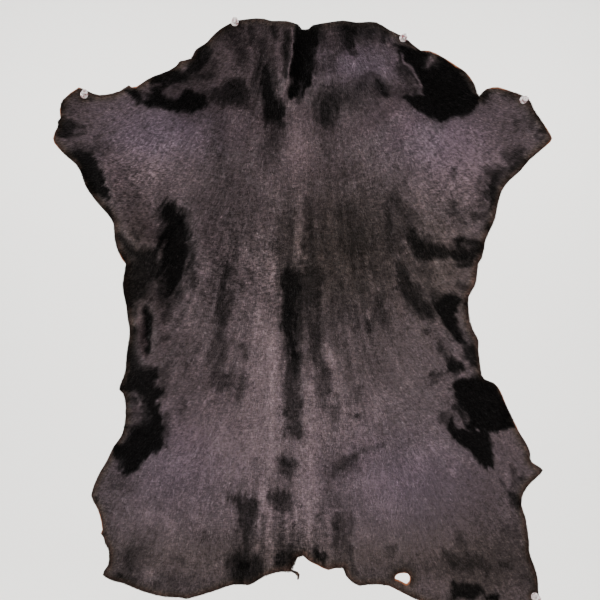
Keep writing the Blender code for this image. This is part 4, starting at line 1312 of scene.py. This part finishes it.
def outline_share(softness, corners):
    """1 inside a closed outline and 0 outside it, turning within the softness."""
    distance = np.full(grid_x.shape, np.inf)
    inside = np.zeros(grid_x.shape, bool)
    for start, end in zip(corners, corners[1:] + corners[:1]):
        right, low, _ = off_line(patch_across, patch_down, start, end)
        distance = np.minimum(distance, np.hypot(right, low))
        if start[1] != end[1]:
            crosses = (patch_down < start[1]) != (patch_down < end[1])
            slant = (end[0] - start[0]) / (end[1] - start[1])
            inside ^= crosses & (patch_across < start[0] + (patch_down - start[1]) * slant)
    signed = np.where(inside, distance, -distance) / softness
    share = np.clip(0.5 + signed + FEATHER * feather, 0, 1)
    return share * share * (3 - 2 * share)


def line_share(half_width, corners):
    """1 along a line of points, fading to its sides and towards its two ends."""
    steps = [math.dist(start, end) for start, end in zip(corners, corners[1:])]
    nearest = np.full(grid_x.shape, np.inf)
    gone = np.zeros(grid_x.shape)
    before = 0.0
    for start, end, step in zip(corners, corners[1:], steps):
        right, low, along = off_line(patch_across, patch_down, start, end)
        off = np.hypot(right, low)
        nearer = off < nearest
        nearest[nearer] = off[nearer]
        gone[nearer] = ((before + along * step) / sum(steps))[nearer]
        before += step
    return np.exp(-((nearest / half_width) ** 2)) * np.clip(ENDS * gone * (1 - gone), 0, 1)


print(f"a soft patch fills {ellipse_share(NOTCH_ACROSS, 300, 60, 60).mean():.1%} of the map")

# %% [markdown]
# Each cell moves by that share towards the patch's own value, one patch after the other.
# Along the cut edge, where the coat thins out, the hair is darker, a painted shade, and rusts.

# %% Lay out the sheen, the tint and the ruffle
EDGE_SHADES = [(10.0, 0.18), (3.0, 0.3)]  # (reach, depth) of the painted shade along the cut edge, mm
RUST_REACH, RUST_DEPTH = 6.0, 1.1  # how far from the cut and how much the tint sinks


def sheen_of(shade):
    """The sheen that makes hair look as bright as the shade."""
    return np.interp(shade, *zip(*SHEEN_OF_SHADE))


def by_the_cut(reach):
    """1 at the cut edge, fading to 0 over the reach."""
    return np.exp(-((inside_edge / reach) ** 2))


def blend(field, value, share):
    """Moves a map towards a value, by a share that differs from cell to cell."""
    field += (value - field) * share


# the sheen is light and shade painted into the hair's colour: painted sheen where the coat is lit,
# painted shade in its folds and along the cut
sheen = np.full(grid_x.shape, sheen_of(OPEN_SHADE))
for *ellipse, shade, strength in SOFT_PATCHES.values():
    blend(sheen, sheen_of(shade), strength * ellipse_share(*ellipse))
for shade, softness, corners in CLEAR_PATCHES.values():
    blend(sheen, sheen_of(shade), outline_share(softness, corners))
for lines in LINES.values():
    for shade, half_width, strength, corners in lines:
        blend(sheen, sheen_of(shade), strength * line_share(half_width, corners))
# painted shade along the cut edge
for reach, depth in EDGE_SHADES:
    sheen *= 1 - depth * by_the_cut(reach)

tint = np.full(grid_x.shape, OPEN_TINT)
for *ellipse, value in TINT_PATCHES.values():
    blend(tint, value, ellipse_share(*ellipse))
tint -= RUST_DEPTH * by_the_cut(RUST_REACH)

ruffle = np.full(grid_x.shape, OPEN_RUFFLE)
for *ellipse, amount in RUFFLED.values():
    blend(ruffle, amount, ellipse_share(*ellipse))
print(f"sheen: {sheen[covered].mean():.2f} on average")

# %% [markdown]
# Close up, the coat has a grain, painted into its sheen. Hairs gather into little locks
# along the nap, and sleek hair also breaks into fine ripples across it, which show as
# painted glints. Both come from the same trick: white noise smeared along one direction,
# which is the nap for locks and square to it for ripples.

# %% Grain of the coat
STREAK_REACH, STREAK_BLUR, STREAK_DEPTH, LEAST_STREAKS = 30.0, 1.8, 0.05, 0.3
LOCK_REACH, LOCK_DEPTH = 4.0, 0.02
RIPPLE_REACH, RIPPLE_DEPTH = 2.5, 0.05
BLOTCH_SIZE, BLOTCH_DEPTH = 7.0, 0.02

streaks = even(blur(smeared_noise(nap_x, nap_z, STREAK_REACH), STREAK_BLUR))
streaks *= LEAST_STREAKS + sum(ellipse_share(*ellipse) for ellipse in STREAKED.values())
locks = smeared_noise(nap_x, nap_z, LOCK_REACH)
ripples = smeared_noise(-nap_z, nap_x, RIPPLE_REACH)
# the grain swings the painted sheen: streaks and locks of it, and ripples of painted glints
grain = ruffle * (STREAK_DEPTH * streaks + LOCK_DEPTH * locks + RIPPLE_DEPTH * ripples)
grain += BLOTCH_DEPTH * smooth_noise(BLOTCH_SIZE)
print(f"grain: standard deviation {grain.std():.3f} of the sheen")

# %% [markdown]
# ## The coat
#
# Blender has hair curves, but a part that other programs open has to be plain triangles.
# So each hair is one long thin triangle: its root sits on the skin, its tip lies at the
# coat's surface further down the nap. A real hair is 0.05 mm thick, too fine to show
# here, so each blade stands for a small lock. Blades are rolled at random about their
# own length, which makes a flat triangle shine like a round hair would.

# %% Scatter the roots
HAIRS_PER_SQUARE_MM = 2.5
ROOT_CLEARANCE = 0.5
BARE_EDGE = 1.6
PIN_BARE = 3.2
PIN_FOOT = 1.0  # the height of pin above the hide that says where the pin stands

wanted = HAIRS_PER_SQUARE_MM * MAP_STEP**2 * (edge_distance > -MAP_STEP)
counts = np.floor(wanted + random.random(grid_x.shape)).astype(int)
root_x = np.repeat(grid_x.ravel(), counts.ravel())
root_z = np.repeat(grid_z.ravel(), counts.ravel())
root_x = root_x + MAP_STEP * (random.random(len(root_x)) - 0.5)
root_z = root_z + MAP_STEP * (random.random(len(root_z)) - 0.5)
from_edge = sample(edge_distance, root_x, root_z)
bare = BARE_EDGE * sample(raw, root_x, root_z)
kept = from_edge > np.maximum(ROOT_CLEARANCE, bare)

pin_names = sorted(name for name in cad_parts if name.endswith("_head"))
for name in pin_names:
    points = np.array([vertex.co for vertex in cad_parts[name].data.vertices]) / MM
    foot = points[points[:, 1] > points[:, 1].max() - PIN_FOOT].mean(0)
    kept &= np.hypot(root_x - foot[0], root_z - foot[2]) > PIN_BARE
root_x, root_z, from_edge, bare = root_x[kept], root_z[kept], from_edge[kept], bare[kept]
hair_count = len(root_x)
print(f"{hair_count} hairs")

# %% [markdown]
# A hair's direction is the nap's, turned a little by its lock and a little at random. Its
# tip is found on the height map, a hair's length down the nap, so hair follows the folds
# instead of standing off them. A hair that would reach past the cut edge is cut short.

# %% Lay the hairs along the nap
HAIR_LENGTH, LENGTH_SPREAD = 4.5, 0.18
SHORTEST, LONGEST = 0.5 * HAIR_LENGTH, 1.5 * HAIR_LENGTH
OWN_TURN, LOCK_TURN, DRIFT_TURN = 9, 7, 8  # degrees
DRIFT_BLUR = 6.0
FRINGE = 0.8  # how far hair may reach past the cut edge
TRIMMED_FROM, TRIM = 0.3, 0.7  # by a raw edge this bare, hair ends this share of it inside

drift = even(blur(random.normal(size=grid_x.shape), DRIFT_BLUR))
turn = OWN_TURN * random.normal(size=hair_count) + LOCK_TURN * sample(locks, root_x, root_z)
turn = np.radians(turn + DRIFT_TURN * sample(drift, root_x, root_z))
down_x, down_z = sample(nap_x, root_x, root_z), sample(nap_z, root_x, root_z)
flow_x = down_x * np.cos(turn) - down_z * np.sin(turn)
flow_z = down_x * np.sin(turn) + down_z * np.cos(turn)
length = HAIR_LENGTH * (1 + LENGTH_SPREAD * random.normal(size=hair_count))
length = np.clip(length, SHORTEST, LONGEST)
steep_x, steep_z = sample(slope_x, root_x, root_z), sample(slope_z, root_x, root_z)
reach = length / np.sqrt(1 + (steep_x * flow_x + steep_z * flow_z) ** 2)
tip_from_edge = sample(edge_distance, root_x + reach * flow_x, root_z + reach * flow_z)
limit = np.where(bare > TRIMMED_FROM, TRIM * bare, -FRINGE * random.random(hair_count))
over = tip_from_edge < limit
kept_share = np.ones(hair_count)
kept_share[over] = ((from_edge - limit) / (from_edge - tip_from_edge))[over]
reach = reach * kept_share
print(f"hair {HAIR_LENGTH} mm long, {over.sum()} cut short at the edge")

# %% [markdown]
# The blade itself is a root as wide as the hair and a tip. It lies flat on the hide
# before it is rolled about its length, and its tip ends near the top of the coat.

# %% Make a blade of each hair
HAIR_WIDTH, WIDTH_SPREAD = 0.62, 0.2
TIP_SPREAD, TIP_RIPPLE = 0.18, 0.18
ROLL = math.radians(32)


def unit(vectors):
    """The vectors with a length of 1."""
    return vectors / np.linalg.norm(vectors, axis=1)[:, None]


tip_rise = COAT_DEPTH * kept_share * (1 + TIP_SPREAD * random.normal(size=hair_count))
tip_rise += TIP_RIPPLE * sample(ripples, root_x, root_z) - COAT_DEPTH
roots = on_hide(root_x, root_z, -COAT_DEPTH)
tips = on_hide(root_x + reach * flow_x, root_z + reach * flow_z, tip_rise)
along = unit(tips - roots)
normals = unit(np.stack([-steep_x, -np.ones(hair_count), -steep_z], -1))
sideways = unit(np.cross(normals, along))
roll = ROLL * random.normal(size=hair_count)[:, None]
sideways = sideways * np.cos(roll) + np.cross(along, sideways) * np.sin(roll)
spread = WIDTH_SPREAD * (2 * random.random(hair_count)[:, None] - 1)
sideways *= HAIR_WIDTH / 2 * (1 + spread)
blades = np.stack([roots - sideways, roots + sideways, tips], 1)
print(f"{len(blades)} blades, {HAIR_WIDTH} mm wide at the root")

# %% [markdown]
# ## Tones of the coat
#
# The sheen map says how bright the coat is at each place, but one material has one
# colour. A painter who has six tubes mixes the rest on the canvas, and so does this coat:
# every hair takes the nearest of a few tones, and the eye mixes them. So each tone is the
# same black hair painted at one level of sheen, from unlit to the brightest highlight, a
# lit or shaded copy of one material. Each tone runs from rust, by way of brown, to mauve,
# as the tint map says, and ripples a little in brightness, as painted glints, and in gloss.

# %% Materials of the coat
# name: ([rust, brown and mauve colour], specular level, roughness), from the darkest
# painted shade to the brightest painted sheen
SHEEN_TONES = {
    "pitch": (["#060404", "#050404", "#050404"], 0.03, 0.75),
    "soot": (["#150f0c", "#12100e", "#121011"], 0.06, 0.7),
    "umber": (["#2c1f18", "#27211e", "#282226"], 0.12, 0.62),
    "smoke": (["#45312a", "#3e3430", "#40353c"], 0.2, 0.56),
    "ash": (["#60463b", "#584a44", "#5a4b57"], 0.3, 0.5),
    "pewter": (["#805d4e", "#75625a", "#796474"], 0.4, 0.46),
    "gleam": (["#a27b69", "#988176", "#9e8498"], 0.5, 0.42),
}
RUST_TINT = -0.5  # brown is 0 and mauve is 1
HAIR_IOR = 1.55  # keratin
RIPPLES = (260.0, 260.0, 620.0)  # to a metre: each is about 4 mm wide and 1.6 mm high
# ripples swing the brightness of the colour, as painted glints, and the roughness
PAINTED_GLINT_SWING, ROUGHNESS_SWING = 0.55, -0.1


def coat_material(tone, colours, specular, roughness):
    """One tone of painted sheen. Tint picks its colour; ripples swing it as painted glints."""
    material, shader = new_material(f"black cowhide hair, painted sheen, {tone}")
    tints = rescale(material, number_on_points(material, "tint"), (RUST_TINT, 1))
    colour = ramp(material, tints, colours, RUST_TINT / (RUST_TINT - 1))
    swing = rescale(material, texture(material, "TexNoise", RIPPLES), NOISE_SPAN, (-1, 1))
    swing = product(material, swing, number_on_points(material, "ruffle"))
    brightness, gloss = (
        add_node(material, "Math", {0: swing}, {1: change, 2: middle}, operation="MULTIPLY_ADD")
        for middle, change in [(1.0, PAINTED_GLINT_SWING), (roughness, ROUGHNESS_SWING)]
    )
    links = {"Color": colour, "Value": brightness.outputs[0]}
    colour = add_node(material, "HueSaturation", links).outputs["Color"]
    links = {"Base Color": colour, "Roughness": gloss.outputs[0]}
    wire(material, shader, links, {"Specular IOR Level": specular, "IOR": HAIR_IOR})
    return material


coat_materials = [coat_material(tone, *settings) for tone, settings in SHEEN_TONES.items()]
print(f"{len(coat_materials)} tones")

# %% [markdown]
# A hair's tone follows from the painted sheen where the hair shows most, plus the grain of
# the coat there, plus a little noise of its own. The noise, and a few hairs raised as
# painted glints, give the coat the salt-and-pepper sparkle of separate hairs. Hairs of one
# tone make one piece, or two if they are many.

# %% Share the hairs among the tones
MOST_IN_A_PIECE = 190_000
SEEN_AT = 0.65  # the share of its length at which a hair shows most
FULL_GRAIN, LEAST_GRAIN = 0.5, 0.12  # the sheen that takes all the grain, and its least share
NOISE, RUFFLED_NOISE = 0.24, 0.08  # how far single hairs stray, in tones
# a few hairs raised to brighter tones, as painted glints
SPARKLES, SPARKLE_RISE = 0.012, 1.5
TINT_SPREAD = 0.12

step = len(SHEEN_TONES) - 1
seen_x = root_x + SEEN_AT * reach * flow_x
seen_z = root_z + SEEN_AT * reach * flow_z
value = sample(sheen, seen_x, seen_z)
hair_ruffle = sample(ruffle, seen_x, seen_z)
value += np.clip(value / FULL_GRAIN, LEAST_GRAIN, 1) * sample(grain, seen_x, seen_z)
stray = NOISE + RUFFLED_NOISE * hair_ruffle
level = value * step + stray * random.normal(size=hair_count)
level += SPARKLE_RISE * (random.random(hair_count) < SPARKLES)
level = np.clip(np.round(level), 0, step).astype(int)
hair_tint = sample(tint, seen_x, seen_z) + TINT_SPREAD * random.normal(size=hair_count)

for index, (tone, material) in enumerate(zip(SHEEN_TONES, coat_materials)):
    chosen = np.flatnonzero(level == index)
    pieces = max(1, math.ceil(len(chosen) / MOST_IN_A_PIECE))
    for number, part in enumerate(np.array_split(chosen, pieces), 1):
        name = f"coat_{tone}" if pieces == 1 else f"coat_{tone}_{number}"
        triangles = np.arange(len(part) * 3).reshape(-1, 3)
        numbers = {"tint": hair_tint[part].repeat(3), "ruffle": hair_ruffle[part].repeat(3)}
        piece = mesh_object(name, blades[part].reshape(-1, 3), triangles, [material], numbers)
        print(f"{name}: {len(part)} hairs")

# %% [markdown]
# ## The pins
#
# Five clear push pins hold the hide. Their shapes are already exact in the solids, so
# they only need materials. Push-pin heads are moulded from clear polystyrene, which takes
# a flow pattern and a little haze from handling. Their colour is painted reflection: the
# white light that the clear plastic gathers and, in places, the dark red-brown of the
# hide, so it looks mottled. Their needles are drawn steel wire with a nickel plate,
# smooth along the wire and streaked round it.

# %% Pin materials
FLOW_LINES = 380.0  # to a metre
DRAWING_LINES = (4000.0, 60.0, 4000.0)  # close round the wire, long drawn out along it
PAINTED_REFLECTION_SPAN = (0.37, 0.55)  # where the painted reflection turns from red-brown to white


def pin_head():
    """Clear plastic, with painted reflections of the hide and white light along its flow."""
    material, shader = new_material("clear polystyrene, moulded")
    flow = texture(material, "TexNoise", FLOW_LINES, Detail=3.0)
    # the base colour is painted reflection: white light, and the red-brown of the hide
    links = {
        "Base Color": ramp(material, rescale(material, flow, PAINTED_REFLECTION_SPAN), ["#a06468", "#fff6f5"]),
        "Roughness": rescale(material, flow, NOISE_SPAN, (0.08, 0.22)),
        "Normal": bumps(material, flow, 0.1, 0.0002),
    }
    wire(material, shader, links, {"Transmission Weight": 0.15, "IOR": 1.59})
    return material


def pin_needle():
    """Plated wire with fine lines along it."""
    material, shader = new_material("nickel-plated steel, drawn")
    lines = texture(material, "TexNoise", DRAWING_LINES)
    links = {
        "Base Color": ramp(material, lines, ["#a5a19a", "#cfccc5"]),
        "Roughness": rescale(material, lines, NOISE_SPAN, (0.16, 0.34)),
    }
    wire(material, shader, links, {"Metallic": 1.0})
    return material


pin_materials = {"head": pin_head(), "needle": pin_needle()}
for name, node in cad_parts.items():
    if name.startswith("push_pin"):
        node.data.materials.clear()
        node.data.materials.append(pin_materials[name.split("_")[-1]])
print(f"{len(pin_names)} pins")

# %% [markdown]
# ## Camera, light and floor
#
# The camera is the eye of before: straight in front of the middle of the hide, about a
# metre off. The lens follows from the distance and from the width that has to fit.

# %% Place the camera
VIEW_WIDTH = 750.0
SENSOR = 36.0

camera_data = bpy.data.cameras.new("camera")
camera_data.sensor_width = SENSOR
camera_data.lens = SENSOR * EYE_DISTANCE / VIEW_WIDTH
camera = new_object("camera", camera_data)
camera.location = (0, -EYE_DISTANCE * MM, MIDDLE_Z * MM)
camera.rotation_euler = (math.pi / 2, 0, 0)
bpy.context.scene.camera = camera
print(f"camera: {camera_data.lens:.1f} mm lens")

# %% [markdown]
# Sleek hair shows its sheen under one large soft light from above and to the left. A
# weaker fill from the right keeps the folds from going solid black, and two more lights
# brighten the paper behind, well clear of the hide. The floor sweeps up into the backdrop
# in one curve, as a photographer's paper roll does, so no line shows behind the hide.

# %% Set the light and the backdrop
HIDE_MIDDLE = (0, 0, MIDDLE_Z * MM)
# name: (place, target, size, power), in metres and watts
LIGHTS = {
    "key": ((-1.5, -2.1, 1.0), HIDE_MIDDLE, 1.0, 75),
    "fill": ((1.7, -1.8, -0.2), HIDE_MIDDLE, 1.8, 16),
    "backdrop light, left": ((-1.6, 0.7, 0.9), (-0.4, 3.0, -0.4), 1.2, 110),
    "backdrop light, right": ((1.6, 0.7, 0.9), (0.4, 3.0, -0.4), 1.2, 110),
}
WORLD_COLOUR, WORLD_STRENGTH = (0.9, 0.9, 0.9, 1), 0.55
FLOOR_HEIGHT = -1.3
SWEEP_AT = 3.0
SWEEP_RADIUS = 1.2
SWEEP_TOP = 3.0
SWEEP_STEP = 6  # degrees
FLOOR_REACH = 6.0

for name, (place, target, size, power) in LIGHTS.items():
    data = bpy.data.lights.new(name, "AREA")
    data.size, data.energy = size, power
    lamp = new_object(name, data)
    lamp.location = place
    lamp.rotation_euler = (Vector(target) - Vector(place)).to_track_quat("-Z", "Y").to_euler()

world = bpy.data.worlds.new("studio")
world.use_nodes = True
background = world.node_tree.nodes["Background"]
background.inputs["Color"].default_value = WORLD_COLOUR
background.inputs["Strength"].default_value = WORLD_STRENGTH
bpy.context.scene.world = world

profile = [(-FLOOR_REACH, FLOOR_HEIGHT)]
for degrees in range(0, 90 + SWEEP_STEP, SWEEP_STEP):
    angle = math.radians(degrees)
    y = SWEEP_AT - SWEEP_RADIUS + SWEEP_RADIUS * math.sin(angle)
    profile.append((y, FLOOR_HEIGHT + SWEEP_RADIUS * (1 - math.cos(angle))))
profile.append((SWEEP_AT, SWEEP_TOP))
points = [(x, y, z) for y, z in profile for x in (-FLOOR_REACH, FLOOR_REACH)]
faces = [(2 * k, 2 * k + 1, 2 * k + 3, 2 * k + 2) for k in range(len(profile) - 1)]
sweep = bpy.data.meshes.new("floor_and_backdrop")
sweep.from_pydata(points, [], faces)
sweep.polygons.foreach_set("use_smooth", [True] * len(faces))
paper, shader = new_material("pale paper")
wire(paper, shader, values={"Base Color": linear("#e9e7e3"), "Roughness": 0.9})
sweep.materials.append(paper)
backdrop = new_object("floor_and_backdrop", sweep)
print(f"{len(LIGHTS)} lights, {len(profile)} rows in the sweep of the backdrop")
